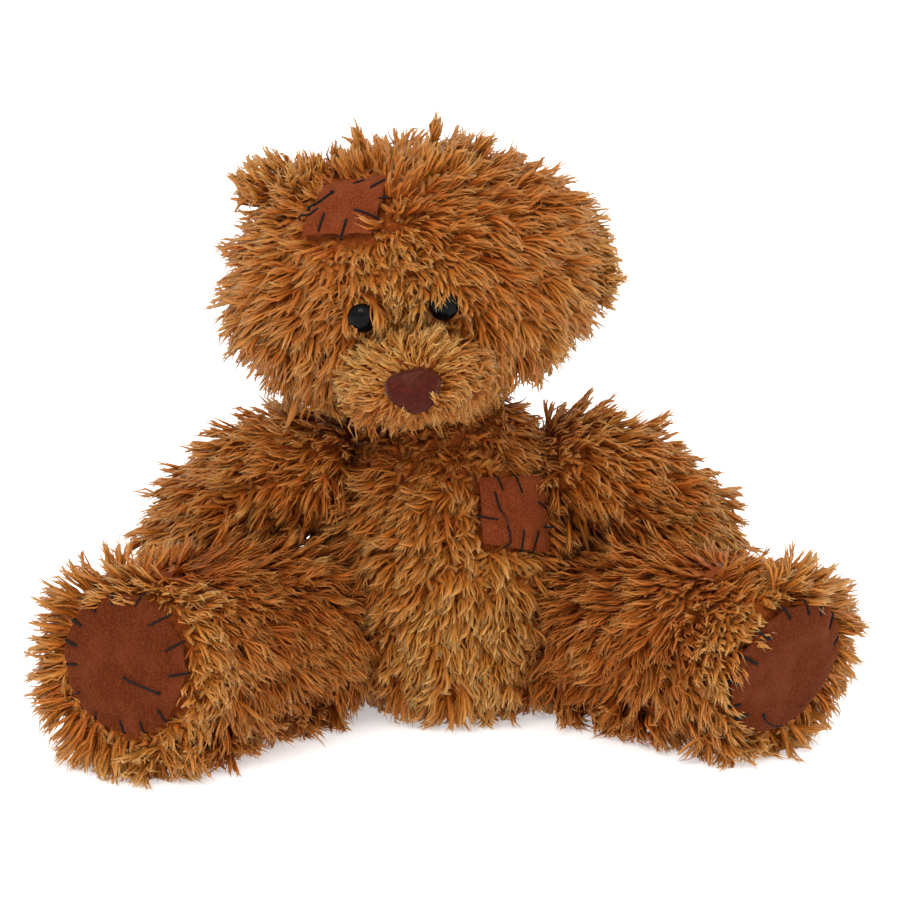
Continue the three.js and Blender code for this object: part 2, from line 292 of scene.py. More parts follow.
# fine streaks along a fibre or a thread, from how far across and along it a point is
def fibreStreaks():
    value = "NodeSocketFloat"
    group, ins, outs = newGroup(
        "fibre streaks",
        [("Across", value, None), ("Along", value, None), ("Fineness", value, 60.0), ("Wander", value, 3.0)],
        [("Shade", value), ("Height", value)],
    )
    across = sums(group, (1, 1), "MULTIPLY", ins.outputs["Across"], ins.outputs["Fineness"])
    along = sums(group, (1, 0), "MULTIPLY", ins.outputs["Along"], ins.outputs["Wander"])
    spot = put(group, "ShaderNodeCombineXYZ", (2, 1))
    group.links.new(across, spot.inputs[0])
    group.links.new(along, spot.inputs[1])
    streak = put(group, "ShaderNodeTexNoise", (3, 1), {"noise_dimensions": "2D"}, Scale=1.0, Detail=2.0)
    group.links.new(spot.outputs[0], streak.inputs["Vector"])
    shade = put(group, "ShaderNodeMapRange", (4, 1))
    shade.inputs["From Min"].default_value = 0.32
    shade.inputs["From Max"].default_value = 0.68
    group.links.new(streak.outputs["Fac"], shade.inputs["Value"])
    group.links.new(shade.outputs[0], outs.inputs["Shade"])
    group.links.new(streak.outputs["Fac"], outs.inputs["Height"])
    return group


# brushed nap with rubbed and darkened spots, in three sizes of mottling
def nappedSurface():
    value = "NodeSocketFloat"
    group, ins, outs = newGroup(
        "napped surface",
        [("Vector", "NodeSocketVector", None), ("Grain", value, 2600.0), ("Mottle", value, 420.0),
         ("Rubbed", value, 90.0)],
        [("Shade", value), ("Rub", value), ("Height", value)],
    )
    grains = {}
    for row, (label, detail) in enumerate((("Grain", 3.0), ("Mottle", 4.0), ("Rubbed", 3.0))):
        grains[label] = put(group, "ShaderNodeTexNoise", (1, -row), Detail=detail)
        group.links.new(ins.outputs["Vector"], grains[label].inputs["Vector"])
        group.links.new(ins.outputs[label], grains[label].inputs["Scale"])
    mixed = sums(group, (3, 0), "ADD", grains["Grain"].outputs["Fac"], grains["Mottle"].outputs["Fac"])
    shade = sums(group, (4, 0), "MULTIPLY", mixed, 0.5)
    group.links.new(shade, outs.inputs["Shade"])
    rub = put(group, "ShaderNodeMapRange", (3, -2))
    rub.inputs["From Min"].default_value = 0.45
    rub.inputs["From Max"].default_value = 0.72
    group.links.new(grains["Rubbed"].outputs["Fac"], rub.inputs["Value"])
    group.links.new(rub.outputs[0], outs.inputs["Rub"])
    group.links.new(mixed, outs.inputs["Height"])
    return group


groups = {"streaks": fibreStreaks(), "nap": nappedSurface()}


def addBump(tree, shader, height, strength, depth, at=(6, -3)):
    bump = put(tree, "ShaderNodeBump", at, Strength=strength, Distance=depth)
    tree.links.new(height, bump.inputs["Height"])
    tree.links.new(bump.outputs["Normal"], shader.inputs["Normal"])


def floorFinish():
    material, tree, shader = newMaterial(
        "pale floor", Roughness=1.0, Specular_IOR_Level=0.0,
        Emission_Color=(1, 1, 1, 1), Emission_Strength=0.4,
    )
    where = put(tree, "ShaderNodeTexCoord", (0, 0))
    grain = put(tree, "ShaderNodeTexNoise", (1, 0), Scale=3.0, Detail=3.0)
    tree.links.new(where.outputs["Object"], grain.inputs["Vector"])
    tint = ramp(tree, (2, 0), [(0.3, (0.9, 0.9, 0.9, 1)), (0.7, (0.94, 0.94, 0.94, 1))])
    tree.links.new(grain.outputs["Fac"], tint.inputs["Fac"])
    tree.links.new(tint.outputs["Color"], shader.inputs["Base Color"])
    return material


# the pile takes its colour from the map OFBake: across it the lock's tone, which in places carries painted shade,
# along it root to tip
def pileFinish(name, roots, low, high, tips):
    material, tree, shader = newMaterial(
        name, Specular_IOR_Level=0.45, Specular_Tint=linear(255, 215, 160),
        Subsurface_Weight=0.5, Subsurface_Radius=(0.8, 0.55, 0.35), Subsurface_Scale=1.2 * mm,
        Sheen_Weight=0.06, Sheen_Roughness=0.4, Sheen_Tint=linear(240, 190, 130),
    )
    lock = put(tree, "ShaderNodeUVMap", (0, 0), {"uv_map": "OFBake"})
    split = put(tree, "ShaderNodeSeparateXYZ", (1, 0))
    tree.links.new(lock.outputs["UV"], split.inputs[0])
    tone, along = split.outputs["X"], split.outputs["Y"]
    dark = ramp(tree, (2, 1), [(0.0, roots), (0.3, low[0]), (0.7, low[1]), (1.0, tips[0])])
    pale = ramp(tree, (2, 0), [(0.0, roots), (0.25, high[0]), (0.65, high[1]), (1.0, tips[1])])
    tree.links.new(along, dark.inputs["Fac"])
    tree.links.new(along, pale.inputs["Fac"])
    body = mixColour(tree, (4, 1), "MIX", tone, dark.outputs["Color"], pale.outputs["Color"])
    streaks = place(tree, groups["streaks"], (2, -2), Fineness=170.0, Wander=2.5)
    tree.links.new(tone, streaks.inputs["Across"])
    tree.links.new(along, streaks.inputs["Along"])
    light = put(tree, "ShaderNodeMapRange", (4, -1))
    light.inputs["To Min"].default_value = 0.82
    light.inputs["To Max"].default_value = 1.14
    tree.links.new(streaks.outputs["Shade"], light.inputs["Value"])
    paintedShade = put(tree, "ShaderNodeMapRange", (2, 3))        # painted shade: locks of the lowest tone, as under the chin and in creases, are darkened further
    paintedShade.inputs["From Max"].default_value = 0.14
    paintedShade.inputs["To Min"].default_value = 0.6
    tree.links.new(tone, paintedShade.inputs["Value"])
    both = put(tree, "ShaderNodeMath", (5, 2), {"operation": "MULTIPLY"})
    tree.links.new(light.outputs[0], both.inputs[0])
    tree.links.new(paintedShade.outputs[0], both.inputs[1])
    shaded = put(tree, "ShaderNodeVectorMath", (5, 0), {"operation": "SCALE"})
    tree.links.new(body, shaded.inputs[0])
    tree.links.new(both.outputs[0], shaded.inputs["Scale"])
    tree.links.new(shaded.outputs[0], shader.inputs["Base Color"])
    gloss = put(tree, "ShaderNodeMapRange", (5, -2))
    gloss.inputs["To Min"].default_value = 0.5
    gloss.inputs["To Max"].default_value = 0.32
    tree.links.new(streaks.outputs["Shade"], gloss.inputs["Value"])
    tree.links.new(gloss.outputs[0], shader.inputs["Roughness"])
    addBump(tree, shader, streaks.outputs["Height"], 0.5, 0.15 * mm)
    return material


def backingFinish():
    material, tree, shader = newMaterial("knitted backing", Roughness=0.95, Specular_IOR_Level=0.15)
    where = put(tree, "ShaderNodeTexCoord", (0, 0))
    nap = place(tree, groups["nap"], (1, 0), Grain=1900.0, Mottle=600.0, Rubbed=60.0)
    tree.links.new(where.outputs["Object"], nap.inputs["Vector"])
    # the knit's own red-brown, with its darker stops as painted shade so that bare gaps between locks read as
    # shadowed roots
    tint = ramp(tree, (3, 0), [
        (0.35, linear(86, 34, 5)), (0.5, linear(118, 52, 10)), (0.68, linear(146, 74, 22)),
    ])
    tree.links.new(nap.outputs["Shade"], tint.inputs["Fac"])
    tree.links.new(tint.outputs["Color"], shader.inputs["Base Color"])
    addBump(tree, shader, nap.outputs["Height"], 0.8, 0.5 * mm)
    return material


def suedeFinish(name, dark, middling, pale):
    material, tree, shader = newMaterial(
        name, Specular_IOR_Level=0.15, Specular_Tint=linear(255, 180, 120),
        Sheen_Weight=0.06, Sheen_Roughness=0.5, Sheen_Tint=linear(220, 140, 80),
    )
    where = put(tree, "ShaderNodeTexCoord", (0, 0))
    nap = place(tree, groups["nap"], (1, 0), Grain=3400.0, Mottle=1500.0, Rubbed=110.0)
    tree.links.new(where.outputs["Object"], nap.inputs["Vector"])
    tint = ramp(tree, (3, 1), [(0.34, dark), (0.5, middling), (0.66, pale)])
    tree.links.new(nap.outputs["Shade"], tint.inputs["Fac"])
    share = sums(tree, (3, -1), "MULTIPLY", nap.outputs["Rub"], 0.35)
    worn = mixColour(tree, (5, 1), "MIX", share, tint.outputs["Color"], pale)
    tree.links.new(worn, shader.inputs["Base Color"])
    gloss = put(tree, "ShaderNodeMapRange", (5, -1))
    gloss.inputs["To Min"].default_value = 0.95
    gloss.inputs["To Max"].default_value = 0.74
    tree.links.new(nap.outputs["Rub"], gloss.inputs["Value"])
    tree.links.new(gloss.outputs[0], shader.inputs["Roughness"])
    addBump(tree, shader, nap.outputs["Height"], 0.4, 0.15 * mm)
    return material


# black twisted thread: the map "strand" runs round it and along it
def threadFinish():
    material, tree, shader = newMaterial("black thread", Specular_IOR_Level=0.25)
    strand = put(tree, "ShaderNodeUVMap", (0, 0), {"uv_map": "strand"})
    split = put(tree, "ShaderNodeSeparateXYZ", (1, 0))
    tree.links.new(strand.outputs["UV"], split.inputs[0])
    turned = sums(tree, (2, 0), "MULTIPLY_ADD", split.outputs["Y"], 2400.0, split.outputs["X"])
    ply = sums(tree, (3, 0), "PINGPONG", turned, 0.5)
    tint = ramp(tree, (4, 0), [(0.0, linear(3, 4, 6)), (0.35, linear(11, 13, 16)), (0.5, linear(22, 25, 30))])
    tree.links.new(ply, tint.inputs["Fac"])
    tree.links.new(tint.outputs["Color"], shader.inputs["Base Color"])
    shader.inputs["Roughness"].default_value = 0.7
    addBump(tree, shader, ply, 0.8, 0.3 * mm)
    return material


def leatheretteFinish():
    material, tree, shader = newMaterial(
        "maroon leatherette", Specular_IOR_Level=0.3, Specular_Tint=linear(255, 165, 140),
    )
    where = put(tree, "ShaderNodeTexCoord", (0, 0))
    grain = put(tree, "ShaderNodeTexVoronoi", (1, 0), {"feature": "DISTANCE_TO_EDGE"}, Scale=1500.0)
    tree.links.new(where.outputs["Object"], grain.inputs["Vector"])
    nap = place(tree, groups["nap"], (1, -2), Grain=3200.0, Mottle=700.0, Rubbed=160.0)
    tree.links.new(where.outputs["Object"], nap.inputs["Vector"])
    tint = ramp(tree, (3, 1), [
        (0.35, linear(32, 6, 3)), (0.52, linear(54, 12, 7)), (0.7, linear(78, 24, 16)),
    ])
    tree.links.new(nap.outputs["Shade"], tint.inputs["Fac"])
    tree.links.new(tint.outputs["Color"], shader.inputs["Base Color"])
    gloss = put(tree, "ShaderNodeMapRange", (4, -1))
    gloss.inputs["To Min"].default_value = 0.3
    gloss.inputs["To Max"].default_value = 0.46
    tree.links.new(nap.outputs["Rub"], gloss.inputs["Value"])
    tree.links.new(gloss.outputs[0], shader.inputs["Roughness"])
    creases = put(tree, "ShaderNodeMapRange", (3, -1))
    creases.inputs["From Max"].default_value = 0.12
    tree.links.new(grain.outputs["Distance"], creases.inputs["Value"])
    addBump(tree, shader, creases.outputs[0], 0.35, 0.08 * mm)
    return material


def eyeFinish():
    material, tree, shader = newMaterial("black glossy plastic", Specular_IOR_Level=0.1)
    where = put(tree, "ShaderNodeTexCoord", (0, 0))
    nap = place(tree, groups["nap"], (1, 0), Grain=1500.0, Mottle=500.0, Rubbed=260.0)
    tree.links.new(where.outputs["Object"], nap.inputs["Vector"])
    tint = ramp(tree, (3, 0), [(0.35, linear(2, 2, 3)), (0.7, linear(7, 7, 9))])
    tree.links.new(nap.outputs["Shade"], tint.inputs["Fac"])
    tree.links.new(tint.outputs["Color"], shader.inputs["Base Color"])
    gloss = put(tree, "ShaderNodeMapRange", (4, -1))
    gloss.inputs["To Min"].default_value = 0.08
    gloss.inputs["To Max"].default_value = 0.22
    tree.links.new(nap.outputs["Rub"], gloss.inputs["Value"])
    tree.links.new(gloss.outputs[0], shader.inputs["Roughness"])
    return material


def washerFinish():
    material, tree, shader = newMaterial("white moulded plastic", Roughness=0.5)
    where = put(tree, "ShaderNodeTexCoord", (0, 0))
    nap = place(tree, groups["nap"], (1, 0), Grain=1500.0, Mottle=400.0, Rubbed=200.0)
    tree.links.new(where.outputs["Object"], nap.inputs["Vector"])
    tint = ramp(tree, (3, 0), [(0.35, linear(214, 211, 200)), (0.65, linear(236, 234, 226))])
    tree.links.new(nap.outputs["Shade"], tint.inputs["Fac"])
    tree.links.new(tint.outputs["Color"], shader.inputs["Base Color"])
    addBump(tree, shader, nap.outputs["Height"], 0.2, 0.05 * mm)
    return material


def fillingFinish():
    material, tree, shader = newMaterial("fibre filling", Roughness=1.0, Specular_IOR_Level=0.1)
    where = put(tree, "ShaderNodeTexCoord", (0, 0))
    nap = place(tree, groups["nap"], (1, 0), Grain=900.0, Mottle=260.0, Rubbed=60.0)
    tree.links.new(where.outputs["Object"], nap.inputs["Vector"])
    tint = ramp(tree, (3, 0), [(0.35, linear(206, 202, 190)), (0.65, linear(244, 242, 234))])
    tree.links.new(nap.outputs["Shade"], tint.inputs["Fac"])
    tree.links.new(tint.outputs["Color"], shader.inputs["Base Color"])
    addBump(tree, shader, nap.outputs["Height"], 0.9, 0.8 * mm)
    return material


def pelletBagFinish():
    material, tree, shader = newMaterial("pellet bag cloth", Roughness=0.85, Specular_IOR_Level=0.2)
    where = put(tree, "ShaderNodeTexCoord", (0, 0))
    beads = put(tree, "ShaderNodeTexVoronoi", (1, 0), Scale=300.0)
    tree.links.new(where.outputs["Object"], beads.inputs["Vector"])
    nap = place(tree, groups["nap"], (1, -2), Grain=2600.0, Mottle=900.0, Rubbed=80.0)
    tree.links.new(where.outputs["Object"], nap.inputs["Vector"])
    tint = ramp(tree, (3, 0), [(0.35, linear(196, 190, 172)), (0.65, linear(226, 221, 206))])
    tree.links.new(nap.outputs["Shade"], tint.inputs["Fac"])
    tree.links.new(tint.outputs["Color"], shader.inputs["Base Color"])
    addBump(tree, shader, beads.outputs["Distance"], 0.7, 1.2 * mm)
    return material


finishes = {
    "pile": pileFinish(
        "long plush pile",
        roots=linear(148, 60, 5),
        low=(linear(150, 60, 6), linear(162, 78, 14)),
        high=(linear(172, 92, 22), linear(180, 116, 46)),
        tips=(linear(164, 90, 30), linear(192, 150, 90)),
    ),
    "shortPile": pileFinish(
        "short plush pile",
        roots=linear(158, 78, 14),
        low=(linear(160, 76, 14), linear(170, 90, 26)),
        high=(linear(178, 106, 36), linear(190, 130, 60)),
        tips=(linear(172, 98, 38), linear(204, 162, 98)),
    ),
    "backing": backingFinish(),
    "suede": suedeFinish("suede patch", linear(76, 30, 12), linear(100, 43, 20), linear(128, 62, 33)),
    "soleSuede": suedeFinish("suede sole", linear(57, 21, 8), linear(79, 32, 14), linear(108, 50, 26)),
    "thread": threadFinish(),
    "leatherette": leatheretteFinish(),
    "eye": eyeFinish(),
    "washer": washerFinish(),
    "filling": fillingFinish(),
    "pelletBag": pelletBagFinish(),
}

makeCamera()
makeStudio()
print("camera, light and finishes made")


# stuffed sections: each one's filling swells under pressure, then takes a skin of knitted backing

bodySet = {
    "voxel": 5 * mm,
    "fillingVoxel": 5.5 * mm,
    "fillingInset": 2.0 * mm,
    "pressure": 4,
    "frames": 20,
    "swell": 2.0 * mm,         # the most that a point may move
    "fullness": 1.8 * mm,      # from the remeshed filling out to the skin
    "wall": 1.0 * mm,
    "lumps": 0.7 * mm,         # worn filling shifts into lumps
    "lumpSize": 15 * mm,
}
sections = {
    "torso": {"skin": "torso_skin", "inside": ("torso_stuffing", "pellet_bag"), "fill": 0.6},
    "head": {"skin": "head_skin", "inside": ("head_stuffing",), "fill": 0.75},
    "muzzle": {"skin": "muzzle_skin", "inside": ("muzzle_stuffing",), "fill": 0.7},
    "arm_right": {"skin": "arm_skin_right", "inside": ("arm_stuffing_right",), "fill": 0.45},
    "arm_left": {"skin": "arm_skin_left", "inside": ("arm_stuffing_left",), "fill": 0.45},
    "leg_right": {"skin": "leg_skin_right", "inside": ("leg_stuffing_right",), "fill": 0.6},
    "leg_left": {"skin": "leg_skin_left", "inside": ("leg_stuffing_left",), "fill": 0.6},
}


def remeshed(piece, voxel):
    remesh = piece.modifiers.new("Remesh", "REMESH")
    remesh.mode = "VOXEL"
    remesh.voxel_size = voxel
    return keepModified(piece)


# the filling presses the section round, and it then stands as full as its skin
def swelled(piece):
    s = bodySet
    rest = pointsOf(piece.data)
    cloth = piece.modifiers.new("Cloth", "CLOTH")
    cloth.settings.use_pressure = True
    cloth.settings.uniform_pressure_force = s["pressure"]
    cloth.settings.effector_weights.gravity = 0
    cloth.point_cache.frame_start = 1
    cloth.point_cache.frame_end = s["frames"]
    for step in range(1, s["frames"] + 1):
        scene.frame_set(step)
    keepModified(piece)
    scene.frame_set(1)
    move = pointsOf(piece.data) - rest
    length = np.linalg.norm(move, axis=1, keepdims=True)
    setPoints(piece.data, rest + move * np.minimum(1, s["swell"] / np.maximum(length, 1e-9)))
    normals = np.array([v.normal for v in piece.data.vertices])
    setPoints(piece.data, pointsOf(piece.data) + normals * s["fullness"])
    return piece


def stuffedBody(name, inside):
    s = bodySet
    body = remeshed(newPiece(name, cadCopy(*inside)), s["voxel"])
    swelled(body)
    finer = body.modifiers.new("Subdivision", "SUBSURF")
    finer.levels = finer.render_levels = 1
    keepModified(body)
    for vertex in body.data.vertices:
        lump = noise.noise(vertex.co / s["lumpSize"]) * s["lumps"]
        vertex.co += vertex.normal * lump
    body.data.update()
    return body


def addSkin(body, name, part):
    skin = body.copy()
    skin.data = body.data.copy()
    skin.name = name + "_backing"
    scene.collection.objects.link(skin)
    wall = skin.modifiers.new("Wall", "SOLIDIFY")
    wall.thickness = bodySet["wall"]
    wall.offset = -1
    keepModified(skin)
    skin.data.materials.clear()
    skin.data.materials.append(finishes["backing"])
    skin.data.shade_smooth()
    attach(skin, "root")
    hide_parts(part["skin"])


def addFilling(node):
    piece = remeshed(newPiece(node.replace("stuffing", "filling") + "_piece", cadCopy(node)),
                     bodySet["fillingVoxel"])
    normals = np.array([v.normal for v in piece.data.vertices])
    setPoints(piece.data, pointsOf(piece.data) - normals * bodySet["fillingInset"])
    isBag = node == "pellet_bag"
    piece.data.materials.clear()
    piece.data.materials.append(finishes["pelletBag" if isBag else "filling"])
    piece.data.shade_smooth()
    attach(piece, "root")
    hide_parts(node)


bodies = {}
for name, part in sections.items():
    bodies[name] = stuffedBody(name + "_form", part["inside"])
    addSkin(bodies[name], name, part)
    for node in part["inside"]:
        addFilling(node)
print("stuffed sections made:", {n: len(b.data.vertices) for n, b in bodies.items()})


# ears: two layers of plush round nothing

earSet = {"voxel": 1.8 * mm, "thinner": 0.9 * mm}
for side in ("right", "left"):
    form = remeshed(newPiece("ear_" + side + "_form", cadCopy("ear_" + side)), earSet["voxel"])
    normals = np.array([v.normal for v in form.data.vertices])
    setPoints(form.data, pointsOf(form.data) - normals * earSet["thinner"])
    bodies["ear_" + side] = form
    piece = form.copy()
    piece.data = form.data.copy()
    piece.name = "ear_" + side + "_backing"
    scene.collection.objects.link(piece)
    piece.data.materials.clear()
    piece.data.materials.append(finishes["backing"])
    piece.data.shade_smooth()
    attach(piece, "root")
    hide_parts("ear_" + side)

trees = {name: surfaceOf(body.data) for name, body in bodies.items()}
boxes = {name: (pointsOf(body.data).min(0), pointsOf(body.data).max(0)) for name, body in bodies.items()}


# what the pile grows round, and what it leaves bare

headMiddle = middle("head_skin")
headHalf = (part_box("head_skin")[1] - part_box("head_skin")[0]) / 2
eyes = {side: middle("eye_" + side) for side in ("right", "left")}
headAside = (eyes["left"] - eyes["right"]).normalized()
headUp = (up - headAside * up.dot(headAside)).normalized()
headFront = headAside.cross(headUp)
noseMiddle = middle("nose")
torsoMiddle = middle("torso_skin")
soles = {side: lyingFrame("foot_pad_" + side, middle("leg_skin_" + side)) for side in ("right", "left")}
patches = {
    "head": lyingFrame("head_patch", headMiddle),
    "chest": lyingFrame("chest_patch", torsoMiddle),
}


def inFrame(node, turned):
    back = np.array(turned.inverted())
    return pointsOf(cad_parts[node].data) @ back[:3, :3].T + back[:3, 3]


# the four corners of a patch, as x and y in its own frame, going round it
def cornersOf(node, turned):
    places = inFrame(node, turned)
    return [Vector(places[np.argmax(places[:, 0] * x + places[:, 1] * y)][:2])
            for x, y in ((-1, 1), (-1, -1), (1, -1), (1, 1))]


patchCorners = {name: cornersOf(name + "_patch", turned) for name, turned in patches.items()}


# the longer half of a foot pad, the shorter one, and the turn of the longer one in the pad's frame
def ovalOf(node, turned):
    places = inFrame(node, turned)[:, :2]
    spread, axes = np.linalg.eigh(np.cov(places.T))
    longWay, shortWay = axes[:, 1], axes[:, 0]
    return (np.abs(places @ longWay).max(), np.abs(places @ shortWay).max(),
            math.atan2(longWay[1], longWay[0]))


padOvals = {side: ovalOf("foot_pad_" + side, turned) for side, turned in soles.items()}


# a guard says how far outside a bare place a point is, and which way is out of it
def roundGuard(centre, radius):
    def guard(spot):
        away = spot - centre
        return away.length - radius, away.normalized()
    return guard


def patchGuard(turned, corners):
    back = turned.inverted()
    turn = turned.to_3x3()
    sides = []
    for first, second in zip(corners, corners[1:] + corners[:1]):
        line = second - first
        sides.append((first, Vector((line.y, -line.x)).normalized()))

    def guard(spot):
        local = back @ spot
        if abs(local.z) > 15 * mm:
            return 1.0, up
        far, out = max(((local.xy - first).dot(out), tuple(out)) for first, out in sides)
        return far, turn @ Vector((out[0], out[1], 0))
    return guard


def ovalGuard(turned, oval):
    back = turned.inverted()
    turn = turned.to_3x3()
    longHalf, shortHalf, angle = oval
    spin = Matrix.Rotation(angle, 2)

    def guard(spot):
        local = back @ spot
        if abs(local.z) > 9 * mm:
            return 1.0, up
        flatSpot = spin.transposed() @ local.xy
        scaled = Vector((flatSpot.x / longHalf, flatSpot.y / shortHalf))
        out = spin @ Vector((scaled.x / longHalf, scaled.y / shortHalf)).normalized()
        return (scaled.length - 1) * shortHalf, turn @ Vector((out.x, out.y, 0))
    return guard


def someOver(share):
    return lambda out, spot: share


# pile falls over a patch from above, and hardly from below
def overTop(most, least, aside=0.0):
    return lambda out, spot: least + (most - least) * smoothStep(-0.3, 0.7, out.z + aside * out.x)


# pile lies over the body's side of a foot pad
def overInner(side):
    outward = -1 if side == "right" else 1
    return lambda out, spot: 0.95 - 0.87 * smoothStep(-0.7, 0.1, out.x * outward - 0.25 * out.z)


guards = {
    "head": [
        (roundGuard(eyes["right"] + headFront * 4 * mm, 4.6 * mm), 8 * mm, someOver(0.12), 0),
        (roundGuard(eyes["left"] + headFront * 4 * mm - headUp * 1.5 * mm, 4.2 * mm), 7 * mm, someOver(0.3), 0),
        (patchGuard(patches["head"], patchCorners["head"]), 7 * mm, overTop(0.6, 0.1, 0.7), -0.4 * mm),
    ],
    "muzzle": [
        (roundGuard(eyes["right"] + headFront * 4 * mm, 4.6 * mm), 8 * mm, someOver(0.05), 0),
        (roundGuard(eyes["left"] + headFront * 4 * mm, 4.6 * mm), 8 * mm, someOver(0.05), 0),
        (roundGuard(noseMiddle + headUp * mm, 6.6 * mm), 4 * mm, someOver(0.08), 0),
    ],
    "torso": [(patchGuard(patches["chest"], patchCorners["chest"]), 7 * mm, overTop(0.3, 0.12), -0.4 * mm)],
    "leg_right": [(ovalGuard(soles["right"], padOvals["right"]), 6 * mm, overInner("right"), -0.2 * mm)],
    "leg_left": [(ovalGuard(soles["left"], padOvals["left"]), 6 * mm, overInner("left"), -0.2 * mm)],
}


# suede sheets: cut flat, laid on the plush, pulled in a little at every stitch

suedeSet = {
    "wall": 1.1 * mm,
    "cell": 0.85 * mm,
    "pucker": 1.1 * mm,
    "puckerWide": 1.3 * mm,
    "puckerLong": 4 * mm,      # how far a pucker runs past the end of its stitch
    "puff": 0.9 * mm,          # of the middle, over the edge
    "fray": 0.35 * mm,         # wander of the cut edge
}


def wobble(x, y, size, seed):
    return noise.noise(Vector((x / size, y / size, seed)))


# a function that gives the height of a surface above the flat of a frame; past the edge, that of the edge
def heightOf(piece, turned):
    back = turned.inverted()
    surface = BVHTree.FromPolygons([back @ v.co for v in piece.data.vertices],
                                   [p.vertices for p in piece.data.polygons])

    def height(x, y):
        for share in (1, 0.97, 0.94, 0.9, 0.85, 0.75):
            hit = surface.ray_cast(Vector((x * share, y * share, 20 * mm)), Vector((0, 0, -1)))[0]
            if hit is not None:
                return hit.z
        return 0
    return height


def puckered(x, y, stitches):
    s = suedeSet
    deepest = 0
    for outer, inner, _ in stitches:
        line = inner - outer
        length = line.length
        line = line / length
        offset = Vector((x, y)) - outer
        along, across = offset.dot(line), offset.dot(Vector((-line.y, line.x)))
        fade = smoothStep(-1.5 * mm, 0, along) * smoothStep(length + s["puckerLong"], 0.4 * length, along)
        deepest = max(deepest, fade * math.exp(-(across / s["puckerWide"]) ** 2))
    return deepest


def addSuede(name, node, turned, outline, cells, stitches, flatSize):
    s = suedeSet
    height = heightOf(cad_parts[node], turned)
    bm = bmesh.new()
    bmesh.ops.create_grid(bm, x_segments=cells, y_segments=cells, size=1)
    for vertex in bm.verts:
        u, v = vertex.co.x, vertex.co.y
        x, y = outline(u, v)
        edge = max(abs(u), abs(v))
        z = height(x * 0.97, y * 0.97) - puckered(x, y, stitches) * s["pucker"]
        z += s["puff"] * smoothStep(1.0, 0.55, edge) + wobble(x, y, 7 * mm, 1.0) * 0.35 * mm
        z -= 0.3 * mm * smoothStep(0.9, 1.0, edge)
        vertex.co = turned @ Vector((x, y, z))
    bmesh.ops.recalc_face_normals(bm, faces=bm.faces)
    if sum((face.normal for face in bm.faces), Vector()).dot(turned.to_3x3().col[2]) < 0:
        bmesh.ops.reverse_faces(bm, faces=bm.faces)
    piece = newPiece(name, bm)
    wall = piece.modifiers.new("Wall", "SOLIDIFY")
    wall.thickness = s["wall"]
    wall.offset = -1
    soft = piece.modifiers.new("Soft edge", "BEVEL")
    soft.width = 0.28 * mm
    soft.segments = 2
    soft.limit_method = "ANGLE"
    soft.angle_limit = math.radians(50)
    keepModified(piece)
    piece.data.materials.append(finishes["soleSuede" if "pad" in node else "suede"])
    piece.data.shade_smooth()
    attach(piece, "root")
    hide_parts(node)
    return piece


# carries a face one ring further, and leaves none inside but the first
def grownFace(bm, face, isFirst):
    grown = bmesh.ops.extrude_face_region(bm, geom=[face])["geom"]
    if not isFirst:
        bmesh.ops.delete(bm, geom=[face], context="FACES_ONLY")
    return next(item for item in grown if isinstance(item, bmesh.types.BMFace))


# black thread, two plies twisted, laid along a smooth route

threadSet = {"radius": 0.37 * mm, "flat": 0.74, "sides": 6, "step": 0.5 * mm, "pitch": 3.6 * mm, "dive": 1.1 * mm}


def smoothRoute(corners, step):
    ends = [corners[0] * 2 - corners[1]] + corners + [corners[-1] * 2 - corners[-2]]
    route = []
    for a, b, c, d in zip(ends, ends[1:], ends[2:], ends[3:]):
        count = max(2, round((c - b).length / step))
        for part in range(count):
            t = part / count
            route.append((b * 2 + (c - a) * t + (a * 2 - b * 5 + c * 4 - d) * t * t
                          + (b * 3 - a - c * 3 + d) * t ** 3) / 2)
    return route + [corners[-1]]


def addThread(bm, route, radius):
    s = threadSet
    around = bm.verts.layers.float.get("around") or bm.verts.layers.float.new("around")
    along = bm.verts.layers.float.get("along") or bm.verts.layers.float.new("along")
    made = bmesh.ops.create_circle(bm, cap_ends=True, segments=s["sides"], radius=radius)
    for corner, vertex in enumerate(made["verts"]):
        vertex[around] = corner / s["sides"]
    top = made["verts"][0].link_faces[0]
    heading, far = up, 0
    turn = Matrix.Identity(3)
    for ring, spot in enumerate(route):
        if ring:
            top = grownFace(bm, top, ring == 1)
            far += (spot - route[ring - 1]).length
        ahead = (route[min(ring + 1, len(route) - 1)] - route[max(ring - 1, 0)]).normalized()
        turn = heading.rotation_difference(ahead).to_matrix() @ turn
        heading = ahead
        spin = Matrix.Rotation(2 * math.pi * far / s["pitch"], 3, "Z")
        for vertex in top.verts:
            angle = 2 * math.pi * vertex[around]
            ply = Vector((math.cos(angle), math.sin(angle) * s["flat"], 0)) * radius
            vertex.co = spot + turn @ spin @ ply
            vertex[along] = far


# a stitch: up out of the plush, straight over the cloth, down again
def addStitch(bm, turned, height, outer, inner, thick=1.0):
    s = threadSet
    rise = s["radius"] * thick * 0.7
    corners = []
    for share in (0, 0.12, 0.5, 0.88, 1):
        spot = outer.lerp(inner, share)
        sink = 0.35 * mm if share in (0, 1) else 0
        corners.append(Vector((spot.x, spot.y, height(spot.x, spot.y) + rise - sink)))
    line = (corners[-1] - corners[0]).normalized()
    corners.insert(0, corners[0] - line * 0.15 * mm - Vector((0, 0, s["dive"])))
    corners.append(corners[-1] + line * 0.15 * mm - Vector((0, 0, s["dive"])))
    route = smoothRoute([turned @ corner for corner in corners], s["step"])
    addThread(bm, route, s["radius"] * thick)


